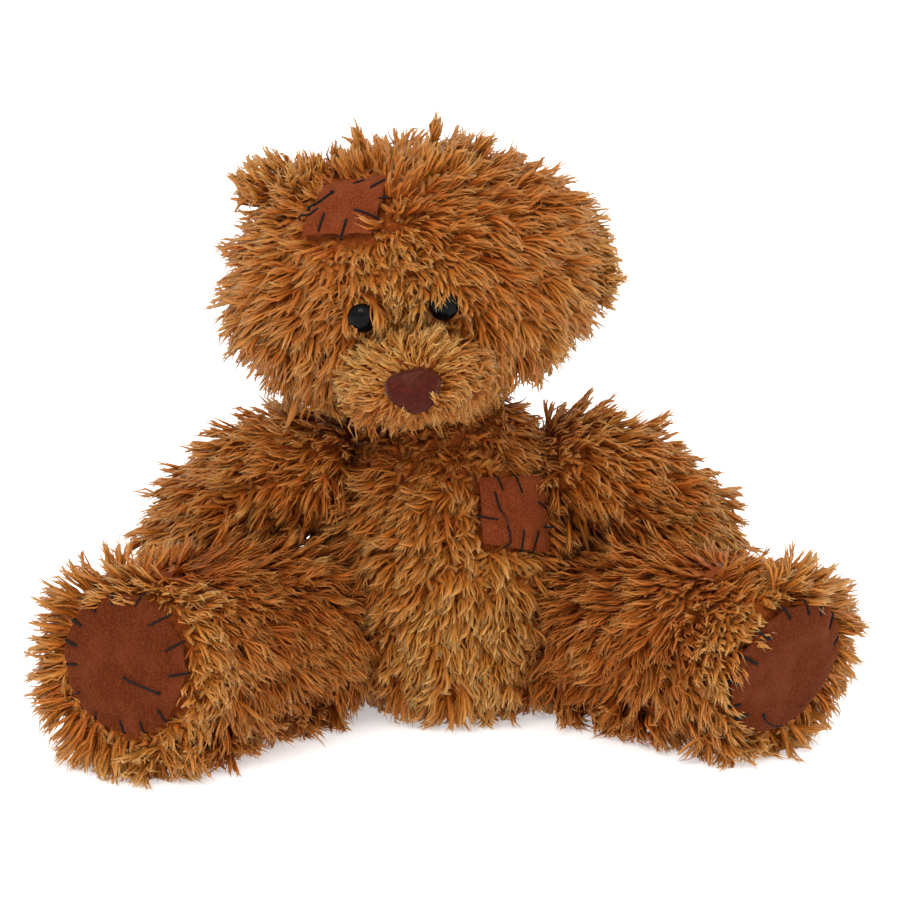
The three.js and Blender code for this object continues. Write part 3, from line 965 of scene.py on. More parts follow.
def addKnot(bm, turned, height, x, y, size=1.0):
    ground = height(x, y) + 0.4 * mm
    corners = []
    for part in range(15):
        angle = part / 15 * 2.6 * 2 * math.pi
        reach = 0.42 * mm * size * (1 + 0.25 * math.cos(angle * 1.7))
        corners.append(turned @ Vector((x + reach * math.cos(angle), y + reach * 0.8 * math.sin(angle),
                                        ground + 0.3 * mm * size * math.sin(angle * 2.3))))
    addThread(bm, smoothRoute(corners, 0.35 * mm), threadSet["radius"] * 0.8)


# a loose end that lies on the cloth
def addTail(bm, turned, height, corners, thick=1.0):
    route = []
    for x, y, lift in corners:
        ground = height(x * mm, y * mm)
        route.append(turned @ Vector((x * mm, y * mm, ground + (0.3 + lift) * mm)))
    addThread(bm, smoothRoute(route, threadSet["step"]), threadSet["radius"] * thick)


def finishThread(name, bm, node):
    around, along = bm.verts.layers.float["around"], bm.verts.layers.float["along"]
    strand = bm.loops.layers.uv.new("strand")
    for face in bm.faces:
        wraps = any(v[around] > 0.6 for v in face.verts) and any(v[around] < 0.3 for v in face.verts)
        for loop in face.loops:
            share = loop.vert[around]
            loop[strand].uv = (share + 1 if wraps and share < 0.5 else share, loop.vert[along])
    for label in ("around", "along"):
        bm.verts.layers.float.remove(bm.verts.layers.float[label])
    bmesh.ops.recalc_face_normals(bm, faces=bm.faces)
    piece = newPiece(name, bm)
    piece.data.materials.append(finishes["thread"])
    piece.data.shade_smooth()
    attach(piece, "root")
    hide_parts(node)
    return piece


# foot pads: each stitch is its place round the pad in degrees, length in mm, lean in degrees, thickness
padStitches = {
    "right": [
        (121, 3.5, -18, 1.0), (103, 3.2, -8, 1.0), (76, 3.0, -16, 0.95), (48, 5.6, -18, 1.05), (24, 5.3, 8, 1.0),
        (-2, 5.0, 14, 1.0), (-49, 3.6, -12, 1.0), (-72, 3.0, -2, 1.0), (-91, 3.6, 14, 0.95), (-119, 2.5, 12, 1.0),
        (-146, 1.6, -6, 0.9), (-172, 4.0, 0, 1.0), (168, 3.6, 2, 1.4), (149, 2.8, 14, 1.4),
    ],
    "left": [
        (103, 3.4, 22, 1.15), (80, 4.0, 30, 1.0), (61, 3.3, 32, 1.1), (41, 4.0, 32, 1.0), (16, 2.2, 30, 0.95),
        (134, 4.8, 10, 1.3), (159, 6.2, -8, 1.45), (183, 3.0, -24, 1.1), (206, 2.9, -14, 1.1),
        (221, 3.6, -22, 1.5),
    ],
}


def onOval(oval, degrees, share):
    longHalf, shortHalf, angle = oval
    ahead = Vector((math.cos(math.radians(degrees)), math.sin(math.radians(degrees))))
    turned = Matrix.Rotation(-angle, 2) @ ahead
    reach = share / math.hypot(turned.x / longHalf, turned.y / shortHalf)
    return ahead * reach


def padOutline(side):
    longHalf, shortHalf, angle = padOvals[side]
    spin = Matrix.Rotation(angle, 2)

    def outline(u, v):
        x, y = u * math.sqrt(1 - v * v / 2), v * math.sqrt(1 - u * u / 2)
        fray = 1 + (wobble(x, y, 0.35, 5.0) * suedeSet["fray"] / shortHalf) * math.hypot(x, y)
        spot = spin @ Vector((x * longHalf, y * shortHalf)) * fray * 0.985
        return spot.x, spot.y
    return outline


for side in ("right", "left"):
    turned, oval = soles[side], padOvals[side]
    stitches = []
    for degrees, length, lean, thick in padStitches[side]:
        outer = onOval(oval, degrees, 1.01)
        inward = Matrix.Rotation(math.radians(lean), 2) @ -outer.normalized()
        stitches.append((outer, outer + inward * (length + 0.6) * mm, thick))
    cells = round(2 * oval[1] / suedeSet["cell"])
    cut = (2 * oval[1], 2 * oval[0])
    pad = addSuede("foot_pad_%s_suede" % side, "foot_pad_" + side, turned, padOutline(side), cells, stitches,
                   cut)
    raised = heightOf(pad, turned)
    bm = bmesh.new()
    for outer, inner, thick in stitches:
        addStitch(bm, turned, raised, outer, inner, thick)
    if side == "right":
        addTail(bm, turned, raised, [(0.8, -3.9, -1.2), (1.2, -4.0, 0.35), (4.5, -4.9, 0.6), (8.5, -6.0, 0.55),
                                     (12.6, -7.1, 0.3)], 1.1)
        addKnot(bm, turned, raised, 12.8 * mm, -7.2 * mm, 1.0)
    else:
        addKnot(bm, turned, raised, -7.2 * mm, -14.2 * mm, 0.9)
        addTail(bm, turned, raised, [(-7.2, -14.2, 0.1), (-6.2, -16.0, 0.4), (-4.2, -17.6, 0.9), (-1.6, -18.6, 1.2),
                                     (1.0, -18.9, 1.3)], 0.85)
        addTail(bm, turned, raised, [(8.0, -14.6, 0.2), (8.9, -13.6, 0.4)], 0.7)
        addTail(bm, turned, raised, [(10.4, -12.4, 0.2), (11.4, -11.8, 0.4)], 0.6)
    finishThread("foot_stitching_%s_thread" % side, bm, "foot_stitching_" + side)


# the two patches: each stitch from where it leaves the plush to where it ends, in mm, and its thickness
patchSet = {
    "head": {
        "flat": (26.5 * mm, 21.5 * mm),
        "stitches": [
            ((2.8, 10.6), (0.0, 8.2), 0.95), ((9.5, 10.8), (6.7, 6.5), 1.0), ((12.4, 4.7), (10.0, 3.8), 0.95),
            ((-12.6, -1.0), (-5.6, 3.5), 1.3), ((-14.3, -4.7), (-8.3, -2.1), 1.15), ((-6.1, -9.2), (-5.2, -3.8), 1.1),
            ((1.6, -10.6), (2.9, -5.5), 1.2), ((11.6, -2.9), (4.4, -2.0), 1.2),
        ],
        "knots": [(-5.0, 3.6, 1.1)],
    },
    "chest": {
        "flat": (26 * mm, 25.5 * mm),
        "stitches": [
            ((-5.2, 12.8), (-5.2, 8.4), 1.0), ((1.6, 12.2), (1.6, 6.6), 1.0), ((-7.9, 8.4), (-7.0, 2.0), 1.0),
            ((-15.2, 2.0), (-8.3, -0.4), 1.0), ((0.3, -4.8), (-0.6, -11.4), 1.05), ((6.6, -6.0), (4.0, -12.2), 1.0),
            ((12.9, 0.6), (8.3, 3.0), 1.0), ((14.2, -5.9), (9.3, -5.0), 1.0),
        ],
        "knots": [],
    },
}


def patchOutline(corners):
    topLeft, lowLeft, lowRight, topRight = corners

    def outline(u, v):
        low = lowLeft.lerp(lowRight, (u + 1) / 2)
        high = topLeft.lerp(topRight, (u + 1) / 2)
        spot = low.lerp(high, (v + 1) / 2)
        cornering = 1 - 0.035 * (u * v) ** 4
        fray = wobble(spot.x, spot.y, 4 * mm, 2.0) * suedeSet["fray"] * max(abs(u), abs(v)) ** 4
        return spot.x * cornering + fray * u, spot.y * cornering + fray * v
    return outline


for name, s in patchSet.items():
    node = name + "_patch"
    turned = patches[name]
    stitches = [(Vector(outer) * mm, Vector(inner) * mm, thick) for outer, inner, thick in s["stitches"]]
    cells = round(s["flat"][0] / suedeSet["cell"])
    patch = addSuede(node + "_suede", node, turned, patchOutline(patchCorners[name]), cells, stitches,
                     s["flat"])
    raised = heightOf(patch, turned)
    bm = bmesh.new()
    for outer, inner, thick in stitches:
        addStitch(bm, turned, raised, outer, inner, thick)
    for x, y, size in s["knots"]:
        addKnot(bm, turned, raised, x * mm, y * mm, size)
    if name == "chest":
        addTail(bm, turned, raised, [(-7.0, 2.2, 0.1), (-6.6, 0.2, 0.5), (-6.0, -2.9, 0.3)], 0.35)
        addTail(bm, turned, raised, [(-6.0, -2.9, 0.2), (-5.7, -5.6, 0.4), (-5.6, -8.4, 0.5), (-8.6, -9.4, 0.5)], 1.0)
        addTail(bm, turned, raised, [(-6.9, 2.4, 0.2), (-5.8, -0.6, 0.7), (-5.8, -3.2, 0.2)], 0.3)
    finishThread(node + "_stitching_thread", bm, node + "_stitching")
print("suede and stitching made")


# the nose: leatherette pulled round a little padding

noseSet = {
    "voxel": 0.5 * mm,
    "rounding": 10,
    "crown": 1.7 * mm,
    "pulled": 3 * mm,          # how far its stitches pull it into the pile of the muzzle
    "sunk": 2.5 * mm,          # how much deeper its back reaches
    "crease": 0.2 * mm,
    "widest": 0.26,            # where it is widest, from -1 at the bottom to 1 at the top
    "skew": 0.9 * mm,          # of its top to the left of the bear
}


# half the nose's width at a height from -1 to 1, as a share of the widest
def noseWidth(height):
    widest = noseSet["widest"]
    if height < widest:
        return max(0, 1 - ((widest - height) / (1 + widest)) ** 2.2) ** 0.56
    return max(0, 1 - ((height - widest) / (1 - widest)) ** 2.6) ** 0.6


def makeNose():
    s = noseSet
    piece = remeshed(newPiece("nose_leatherette", cadCopy("nose")), s["voxel"])
    turned = lyingFrame("nose", headMiddle)
    back = np.array(turned.inverted())
    turn = np.array(turned)
    local = pointsOf(piece.data) @ back[:3, :3].T + back[:3, 3]
    low, high = local.min(0), local.max(0)
    half, centre = (high - low) / 2, (high + low) / 2
    heights = (local[:, 1] - centre[1]) / half[1]
    rows = np.linspace(-0.97, 0.97, 24)
    wide = [max(np.abs(local[np.abs(heights - row) < 0.06, 0] - centre[0]).max(), 0.5 * mm) for row in rows]
    goal = [noseWidth(row) * half[0] for row in rows]
    scaled = np.clip(np.interp(heights, rows, goal) / np.interp(heights, rows, wide), 0.5, 2.2)
    local[:, 0] = centre[0] + (local[:, 0] - centre[0]) * scaled
    local[:, 0] += s["skew"] * np.clip(heights, 0, 1) ** 2
    setPoints(piece.data, local @ turn[:3, :3].T + turn[:3, 3])
    soft = piece.modifiers.new("Soft", "SMOOTH")
    soft.factor = 0.5
    soft.iterations = s["rounding"]
    keepModified(piece)
    out = turned.to_3x3().col[2]
    inward = turned.inverted()
    for vertex in piece.data.vertices:
        spot = inward @ vertex.co
        reach = math.hypot((spot.x - centre[0]) / half[0], (spot.y - centre[1]) / half[1])
        facing = smoothStep(0.2, 0.8, vertex.normal.dot(out))
        crown = s["crown"] * smoothStep(1.0, 0.0, reach)
        fold = s["crease"] * noise.noise(vertex.co / (4 * mm)) - 0.1 * mm * noise.noise(vertex.co / (1.6 * mm))
        sunk = s["sunk"] * smoothStep(-0.1, -0.7, vertex.normal.dot(out))
        vertex.co += out * ((crown + fold) * facing - sunk - s["pulled"])
    piece.data.materials.clear()
    piece.data.materials.append(finishes["leatherette"])
    piece.data.shade_smooth()
    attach(piece, "root")
    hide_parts("nose")


# the eyes: a spun dome on its shank, and the washer behind it

eyeSet = {"radius": 4.5 * mm, "height": 3.4 * mm, "rim": 0.35 * mm, "shank": 1.4 * mm, "steps": 48}


def makeEye(side):
    s = eyeSet
    turned = lyingFrame("eye_washer_" + side, headMiddle)
    if turned.to_3x3().col[2].dot(headFront) < 0:
        turned = turned @ Matrix.Rotation(math.pi, 4, "Y")
    heights = inFrame("eye_" + side, turned)[:, 2]
    low, high = heights.min(), heights.max()
    base = high - s["height"]
    outline = [(0, low), (s["shank"] - 0.2 * mm, low), (s["shank"], low + 0.2 * mm), (s["shank"], base),
               (s["radius"] - 0.3 * mm, base), (s["radius"], base + 0.2 * mm)]
    for part in range(13):
        angle = part / 12 * math.pi / 2
        rise = base + s["rim"] + (s["height"] - s["rim"]) * math.sin(angle)
        outline.append((s["radius"] * math.cos(angle) if part < 12 else 0, rise))
    bm = bmesh.new()
    verts = [bm.verts.new((radius, 0, z)) for radius, z in outline]
    edges = [bm.edges.new(pair) for pair in zip(verts, verts[1:])]
    bmesh.ops.spin(bm, geom=verts + edges, cent=(0, 0, 0), axis=(0, 0, 1), dvec=(0, 0, 0),
                   angle=2 * math.pi, steps=s["steps"], use_merge=True)
    bmesh.ops.remove_doubles(bm, verts=bm.verts, dist=0.002 * mm)
    bmesh.ops.recalc_face_normals(bm, faces=bm.faces)
    bmesh.ops.transform(bm, verts=bm.verts, matrix=turned)
    piece = newPiece("eye_%s_button" % side, bm)
    piece.data.materials.append(finishes["eye"])
    piece.data.shade_smooth()
    piece.data.set_sharp_from_angle(angle=math.radians(50))
    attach(piece, "root")
    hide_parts("eye_" + side)
    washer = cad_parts["eye_washer_" + side]
    washer.data.materials.clear()
    washer.data.materials.append(finishes["washer"])


makeNose()
for side in ("right", "left"):
    makeEye(side)
print("nose and eyes made")


# locks of pile: one main strand and two wisps, root at the origin, combed towards +Y

lockSet = {
    "kinds": 12,
    "length": 10 * mm,
    "radius": 0.54 * mm,
    "wide": 1.3,               # the main strand is flattened
    "thin": 0.8,
    "wisps": 3,
    "wispRadius": 0.36 * mm,
    "splay": 15,               # degrees between wisps where they fork; their tips close up again
    "rootDepth": 1.0 * mm,
    "rootLean": (34, 58),      # degrees from upright
    "tipLean": (74, 108),
    "wave": 2.5 * mm,
    "seed": 4,
}


def lockRoute(chance, start, length, steps, lean, bend):
    spot = start.copy()
    route = [spot.copy()]
    phase = chance.uniform(0, 2 * math.pi)
    sway = chance.uniform(0.35, 1.0) * lockSet["wave"]
    turns = chance.uniform(0.6, 1.3)
    last = 0
    for share in steps[1:]:
        angle = math.radians(lean + (bend - lean) * ((share + last) / 2) ** 0.8)
        stretch = length * (share - last)
        spot += Vector((0, math.sin(angle), math.cos(angle))) * stretch
        last = share
        swing = sway * share * (math.sin(phase + 2 * math.pi * turns * share) - math.sin(phase))
        lift = 0.45 * sway * share * math.cos(phase + 2 * math.pi * turns * share)
        route.append(spot + Vector((0.7 * swing, 0, lift)))
    return route


# one closed strand: a root face carried along the route, ring by ring, to a blunt point
def addStrand(bm, layers, route, radii, steps, which, wide=1, thin=1):
    around, along, strand = layers
    made = bmesh.ops.create_circle(bm, cap_ends=True, segments=3, radius=radii[0])
    bmesh.ops.scale(bm, verts=made["verts"], vec=(wide, thin, 1))
    for corner, vertex in enumerate(made["verts"]):
        vertex[around] = corner / 2
        vertex[along] = steps[0]
        vertex[strand] = which
    top = made["verts"][0].link_faces[0]
    heading = (route[1] - route[0]).normalized()
    turn = up.rotation_difference(heading).to_matrix()
    bmesh.ops.rotate(bm, verts=top.verts, cent=(0, 0, 0), matrix=turn)
    bmesh.ops.translate(bm, verts=top.verts, vec=route[0])
    for ring in range(1, len(route)):
        top = grownFace(bm, top, ring == 1)
        verts = list(top.verts)
        ahead = (route[min(ring + 1, len(route) - 1)] - route[ring - 1]).normalized()
        turn = heading.rotation_difference(ahead).to_matrix()
        heading = ahead
        bmesh.ops.translate(bm, verts=verts, vec=route[ring] - route[ring - 1])
        bmesh.ops.rotate(bm, verts=verts, cent=route[ring], matrix=turn)
        if ring == len(route) - 1:
            for vertex in verts:
                vertex[along] = steps[ring]
            bmesh.ops.pointmerge(bm, verts=verts, merge_co=route[ring])
            break
        size = radii[ring] / radii[ring - 1]
        for vertex in verts:
            vertex.co = route[ring] + (vertex.co - route[ring]) * size
            vertex[along] = steps[ring]


def makeLock(number, chance, straight, wisps):
    s = lockSet
    bm = bmesh.new()
    layers = [bm.verts.layers.float.new(label) for label in ("around", "along", "which")]
    lean = chance.uniform(*s["rootLean"])
    bend = chance.uniform(*s["tipLean"])
    if straight:
        lean, bend = lean * 0.6, bend * 0.5
    steps = [0, 0.24, 0.48, 0.72, 0.93, 1] if wisps else [0, 0.45, 0.85, 1]
    main = lockRoute(chance, Vector((0, 0, -s["rootDepth"])), s["length"] * 0.92, steps, lean, bend)
    radii = [s["radius"] * share for share in ((0.85, 1.0, 1.05, 0.92, 0.6, 0) if wisps else (0.9, 1.05, 0.75, 0))]
    addStrand(bm, layers, main, radii, steps, 0, s["wide"], s["thin"])
    for wisp in range(wisps):
        fork = 1 + wisp % 2
        share = steps[fork]
        splay = (wisp - (s["wisps"] - 1) / 2) * s["splay"] + chance.uniform(-5, 5)
        start = main[fork] + Vector((0.35 * mm * math.copysign(1, splay), 0, chance.uniform(-0.1, 0.3) * mm))
        rise = lean + (bend - lean) * share
        reach = s["length"] * (1 - share) * chance.uniform(0.85, 1.2)
        route = lockRoute(chance, Vector(), reach, [0, 0.55, 1], rise, bend + chance.uniform(-14, 10))
        route = [start + Matrix.Rotation(math.radians(-splay * (1 - 0.75 * closed)), 3, "Z") @ spot
                 for closed, spot in zip((0, 0.3, 1), route)]
        size = s["wispRadius"] * chance.uniform(0.8, 1.15)
        addStrand(bm, layers, route, [size, size * 0.85, 0], [share, (1 + share) / 2, 1], 1 + wisp % 2)
    bmesh.ops.recalc_face_normals(bm, faces=bm.faces)
    uv = bm.loops.layers.uv.new("lock")
    around, along, which = layers
    for face in bm.faces:
        heights = [vertex[along] for vertex in face.verts]
        isEnd = max(heights) - min(heights) < 0.001
        for loop in face.loops:
            vertex = loop.vert
            across = (vertex[which] + 0.08 + 0.84 * vertex[around]) / 3
            above = 0.03 * vertex[around] * (2 - vertex[around]) if isEnd else 0
            loop[uv].uv = (across, vertex[along] + above)
    for layer in ("around", "along", "which"):
        bm.verts.layers.float.remove(bm.verts.layers.float[layer])
    mesh = bpy.data.meshes.new("lock_%02d" % number)
    bm.to_mesh(mesh)
    bm.free()
    mesh.shade_smooth()
    return bpy.data.objects.new(mesh.name, mesh)


lockShelf = bpy.data.collections.new("locks")
chance = random.Random(lockSet["seed"])
for number in range(lockSet["kinds"] + 3):
    straight = lockSet["kinds"] - 2 <= number < lockSet["kinds"]
    wisps = 0 if number >= lockSet["kinds"] else lockSet["wisps"]
    lockShelf.objects.link(makeLock(number, chance, straight, wisps))


# plants a lock at every point of a mesh, by the point's own kind, turn, size and tone
def pilePlanter():
    group = bpy.data.node_groups.new("plant pile", "GeometryNodeTree")
    group.interface.new_socket("Geometry", in_out="INPUT", socket_type="NodeSocketGeometry")
    group.interface.new_socket("Geometry", in_out="OUTPUT", socket_type="NodeSocketGeometry")
    ins, outs = group.nodes.new("NodeGroupInput"), group.nodes.new("NodeGroupOutput")
    shelf = group.nodes.new("GeometryNodeCollectionInfo")
    shelf.inputs["Collection"].default_value = lockShelf
    shelf.inputs["Separate Children"].default_value = True
    shelf.inputs["Reset Children"].default_value = True

    def named(label, kind):
        node = group.nodes.new("GeometryNodeInputNamedAttribute")
        node.data_type = kind
        node.inputs["Name"].default_value = label
        return node.outputs["Attribute"]

    planted = group.nodes.new("GeometryNodeInstanceOnPoints")
    planted.inputs["Pick Instance"].default_value = True
    turned = group.nodes.new("FunctionNodeEulerToRotation")
    group.links.new(named("turn", "FLOAT_VECTOR"), turned.inputs[0])
    group.links.new(ins.outputs[0], planted.inputs["Points"])
    group.links.new(shelf.outputs[0], planted.inputs["Instance"])
    group.links.new(named("kind", "INT"), planted.inputs["Instance Index"])
    group.links.new(turned.outputs[0], planted.inputs["Rotation"])
    group.links.new(named("size", "FLOAT_VECTOR"), planted.inputs["Scale"])
    real = group.nodes.new("GeometryNodeRealizeInstances")
    group.links.new(planted.outputs[0], real.inputs[0])

    lock = group.nodes.new("ShaderNodeSeparateXYZ")
    group.links.new(named("lock", "FLOAT_VECTOR"), lock.inputs[0])
    across = group.nodes.new("ShaderNodeMath")          # the lock's tone, and a little width for each strand
    across.operation = "MULTIPLY_ADD"
    across.inputs[1].default_value = pileSet["toneWidth"]
    group.links.new(lock.outputs["X"], across.inputs[0])
    group.links.new(named("tone", "FLOAT"), across.inputs[2])
    spot = group.nodes.new("ShaderNodeCombineXYZ")
    group.links.new(across.outputs[0], spot.inputs["X"])
    group.links.new(lock.outputs["Y"], spot.inputs["Y"])
    stored = group.nodes.new("GeometryNodeStoreNamedAttribute")
    stored.data_type = "FLOAT2"
    stored.domain = "CORNER"
    stored.inputs["Name"].default_value = "OFBake"
    group.links.new(real.outputs[0], stored.inputs["Geometry"])
    group.links.new(spot.outputs[0], stored.inputs["Value"])
    group.links.new(stored.outputs[0], outs.inputs[0])
    return group


pileSet = {
    "longest": 19 * mm,
    "toneWidth": 0.11,
    "wander": 26,              # degrees that whole areas of pile turn together
    "wanderSize": 13 * mm,
    "tuft": 5.0 * mm,          # between the middles of matted tufts
    "tuftTurn": 18,            # degrees that a tuft turns or rises as one
    "tuftRise": 9,
    "matting": 0.38,           # how far locks lean to their tuft's tip
    "stray": 9,               # degrees that each lock turns or rises by itself
    "rise": 8,
    "floorCurl": 2.2 * mm,     # locks near the floor flatten out on it
    "underSpacing": 1.7 * mm,
    "underReach": 7 * mm,
    "underLength": 6 * mm,
    "underShare": 0.6,
}
planter = pilePlanter()


# points scattered over a body no nearer to each other than the spacing, seeded
def scattered(body, spacing, seed):
    mesh = body.data
    mesh.calc_loop_triangles()
    places = pointsOf(mesh)
    normals = np.array([v.normal for v in mesh.vertices])
    corners = np.array([t.vertices[:] for t in mesh.loop_triangles])
    a, b, c = (places[corners[:, k]] for k in range(3))
    area = np.linalg.norm(np.cross(b - a, c - a), axis=1) / 2
    chance = np.random.default_rng(seed)
    count = int(area.sum() / spacing ** 2 * 4)
    chosen = chance.choice(len(area), count, p=area / area.sum())
    u, v = chance.random((2, count, 1))
    u, v = np.where(u + v > 1, 1 - u, u), np.where(u + v > 1, 1 - v, v)
    spots = a[chosen] + u * (b[chosen] - a[chosen]) + v * (c[chosen] - a[chosen])
    na, nb, nc = (normals[corners[chosen, k]] for k in range(3))
    facing = na * (1 - u - v) + nb * u + nc * v
    taken, kept = {}, []
    cells = np.floor(spots / spacing).astype(int)
    for i, cell in enumerate(map(tuple, cells)):
        near = [taken.get((cell[0] + x, cell[1] + y, cell[2] + z))
                for x in (-1, 0, 1) for y in (-1, 0, 1) for z in (-1, 0, 1)]
        if taken.get(cell) is None and all(
                j is None or ((spots[i] - spots[j]) ** 2).sum() > spacing ** 2 for j in near):
            taken[cell] = i
            kept.append(i)
    return [(Vector(spots[i]), Vector(facing[i]).normalized()) for i in kept]


# a line out of a closed body crosses its surface an odd number of times
def insideBody(spot, name):
    low, high = boxes[name]
    if any(not low[k] < spot[k] < high[k] for k in range(3)):
        return False
    crossings, start, ahead = 0, spot.copy(), Vector((0.31, 0.17, 0.93)).normalized()
    while crossings < 20:
        hit = trees[name].ray_cast(start, ahead)[0]
        if hit is None:
            break
        crossings += 1
        start = hit + ahead * 0.01 * mm
    return crossings % 2 == 1


def insideAnother(spot, name):
    return any(insideBody(spot, other) for other in trees if other != name)


# matted tufts: where each one is, how it turns and rises, and its tone and length
def tuftsOf(body, chance, seed):
    s = pileSet
    spots = [spot for spot, normal in scattered(body, s["tuft"], seed + 50)]
    finder = KDTree(len(spots))
    for order, spot in enumerate(spots):
        finder.insert(spot, order)
    finder.balance()
    habits = [(chance.gauss(0, s["tuftTurn"]), chance.gauss(0, s["tuftRise"]),
               chance.gauss(0, 0.13), chance.uniform(0.84, 1.18)) for spot in spots]
    return finder, habits


# a lock turned off the bare places near it, or None if it grows in one of them
def keptClear(section, spot, normal, flow, chance):
    short, lower = 1, 0
    for guard, reach, over, edge in guards.get(section, ()):
        far, out = guard(spot)
        if far < edge:
            return None
        near = 1 - far / reach
        if far < reach and chance.random() < over(out, spot):
            lower += 1.1 * near
        elif far < reach:
            inward = min(0, flow.dot(out))
            flow = flat(flow - out * inward * (1 + 0.4 * near), normal)
            short *= 1 - 0.3 * near * near
            lower -= 0.8 * near
    return flow, short, lower


# short single strands between the locks, close together round bare places and at partings
def undercoat(section, body, comb, settings, wanted):
    s = pileSet
    chance = random.Random(settings["seed"] + 7)
    rows = []
    for spot, normal in scattered(body, s["underSpacing"], settings["seed"] + 90):
        if wanted and not wanted(spot, normal):
            continue
        gaps = [guard(spot) for guard, reach, over, edge in guards.get(section, ())]
        close = any(far < s["underReach"] for far, out in gaps)
        close = close or any((spot - centre).length < reach for centre, reach in partings.get(section, ()))
        seen = normal.y < 0.35 and normal.z > -0.45
        share = settings.get("underShare", s["underShare"])
        if chance.random() > (1 if close else share if seen else 0.06):
            continue
        if any(far < -1.5 * mm for far, out in gaps) or insideAnother(spot, section):
            continue
        flow, lift, length, tone = comb(spot, normal)
        flow = Matrix.Rotation(math.radians(chance.gauss(0, 35)), 3, normal) @ flat(flow, normal)
        length = s["underLength"] * chance.uniform(0.8, 1.25) * (1 if close else 1.25)
        under = 0
        for far, out in gaps:
            if far < 0.5 * mm:
                under = 1
                flow = flat(flow * 0.4 + out, normal)
            elif far < s["underReach"]:
                inward = max(0, -flow.dot(out))
                flow = flat(flow + out * inward * 0.7, normal)
                length = min(length, (max(far, 0) + 2.5 * mm) / max(-flow.dot(out), 0.1))
        turned = Matrix((flow.cross(normal), flow, normal)).transposed()
        turned = turned @ Matrix.Rotation(math.radians(chance.gauss(-4, 6) - 16 * under), 3, "X")
        stretch = max(length, 3 * mm) / lockSet["length"]
        tone = min(max(tone - 0.05 + chance.gauss(0, 0.12), 0), 1)
        rows.append((spot, turned.to_euler(), (settings.get("under", 1.9), stretch, stretch),
                     lockSet["kinds"] + chance.randrange(3), tone * (1 - s["toneWidth"])))
    return rows


# plants the pile of one section; comb gives each root its flow, lift, length and tone
def growPile(name, body, section, comb, settings, wanted=None, extras=()):
    s = pileSet
    unruly = settings.get("unruly", 1)
    chance = random.Random(settings["seed"])
    finder, habits = tuftsOf(body, chance, settings["seed"])
    rows = []
    for spot, normal in scattered(body, settings["spacing"], settings["seed"]):
        if wanted and not wanted(spot, normal):
            continue
        hidden = smoothStep(0.1, 0.7, max(normal.y, -normal.z))
        if chance.random() < settings.get("thin", 0.28) * hidden or insideAnother(spot, section):
            continue
        tuft, order, far = finder.find(spot)
        tuftTurn, tuftRise, tuftTone, tuftLength = habits[order]
        flow, lift, length, tone = comb(spot, normal)
        length *= tuftLength
        swirl = noise.noise_vector(spot / s["wanderSize"])
        turn = (swirl.x * s["wander"] + tuftTurn + chance.gauss(0, s["stray"])) * unruly
        flow = Matrix.Rotation(math.radians(turn), 3, normal) @ flat(flow, normal)
        matted = tuft + flow * length * 0.7 - spot
        flow = flat(flow * (1 - s["matting"]) + matted.normalized() * s["matting"], normal)
        clear = keptClear(section, spot, normal, flow, chance)
        if clear is None:
            continue
        flow, short, lower = clear
        lift += swirl.y * 10 + tuftRise + 14 * lower + chance.gauss(0, s["rise"])
        side = flow.cross(normal)
        turned = Matrix((side, flow, normal)).transposed()
        turned = turned @ Matrix.Rotation(math.radians(lift), 3, "X")
        stretch = min(length * short * chance.uniform(0.85, 1.12), s["longest"]) / lockSet["length"]
        width = settings.get("width", 1) * chance.uniform(0.8, 1.2)
        kind = chance.randrange(lockSet["kinds"] - 2)
        if chance.random() < settings.get("stragglers", 0.03):
            kind = lockSet["kinds"] - 1 - chance.randrange(2)
            stretch *= 1.15
        tone += swirl.z * 0.3 + tuftTone + chance.gauss(0, 0.09)
        rows.append((spot, turned.to_euler(), (width, stretch, stretch), kind,
                     min(max(tone, 0), 1) * (1 - s["toneWidth"])))
    for spot, normal, flow, lift, length in extras:
        flow = flat(flow, normal)
        turned = Matrix((flow.cross(normal), flow, normal)).transposed()
        turned = turned @ Matrix.Rotation(math.radians(lift), 3, "X")
        stretch = length / lockSet["length"]
        rows.append((spot, turned.to_euler(), (settings.get("width", 0.9), stretch, stretch),
                     chance.randrange(lockSet["kinds"] - 2),
                     chance.uniform(0.5, 0.8) * (1 - s["toneWidth"])))
    rows += undercoat(section, body, comb, settings, wanted)
    mesh = bpy.data.meshes.new(name)
    mesh.from_pydata([row[0] for row in rows], [], [])
    for label, kind, key, values in (
        ("turn", "FLOAT_VECTOR", "vector", [value for row in rows for value in row[1]]),
        ("size", "FLOAT_VECTOR", "vector", [value for row in rows for value in row[2]]),
        ("kind", "INT", "value", [row[3] for row in rows]),
        ("tone", "FLOAT", "value", [row[4] for row in rows]),
    ):
        mesh.attributes.new(label, kind, "POINT").data.foreach_set(key, values)
    piece = bpy.data.objects.new(name, mesh)
    scene.collection.objects.link(piece)
    plant = piece.modifiers.new("Plant", "NODES")
    plant.node_group = planter
    keepModified(piece)
    for label in ("turn", "size", "kind", "tone", "lock"):
        if label in piece.data.attributes:
            piece.data.attributes.remove(piece.data.attributes[label])
    places = pointsOf(piece.data)
    curl = pileSet["floorCurl"]
    low = places[:, 2] < curl
    places[low, 2] = curl * np.exp((places[low, 2] - curl) / curl)
    setPoints(piece.data, places)
    piece.data.materials.clear()
    piece.data.materials.append(finishes[settings.get("finish", "pile")])
    piece.data.shade_smooth()
    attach(piece, "root")
    print(name, len(rows), "locks", len(piece.data.polygons), "faces")
    return piece


# how each section is combed

headParting = headMiddle + headFront * headHalf.y * 0.72 + headUp * headHalf.z * 0.62 - headAside * 2 * mm


partings = {"head": [(headParting, 13 * mm)]}


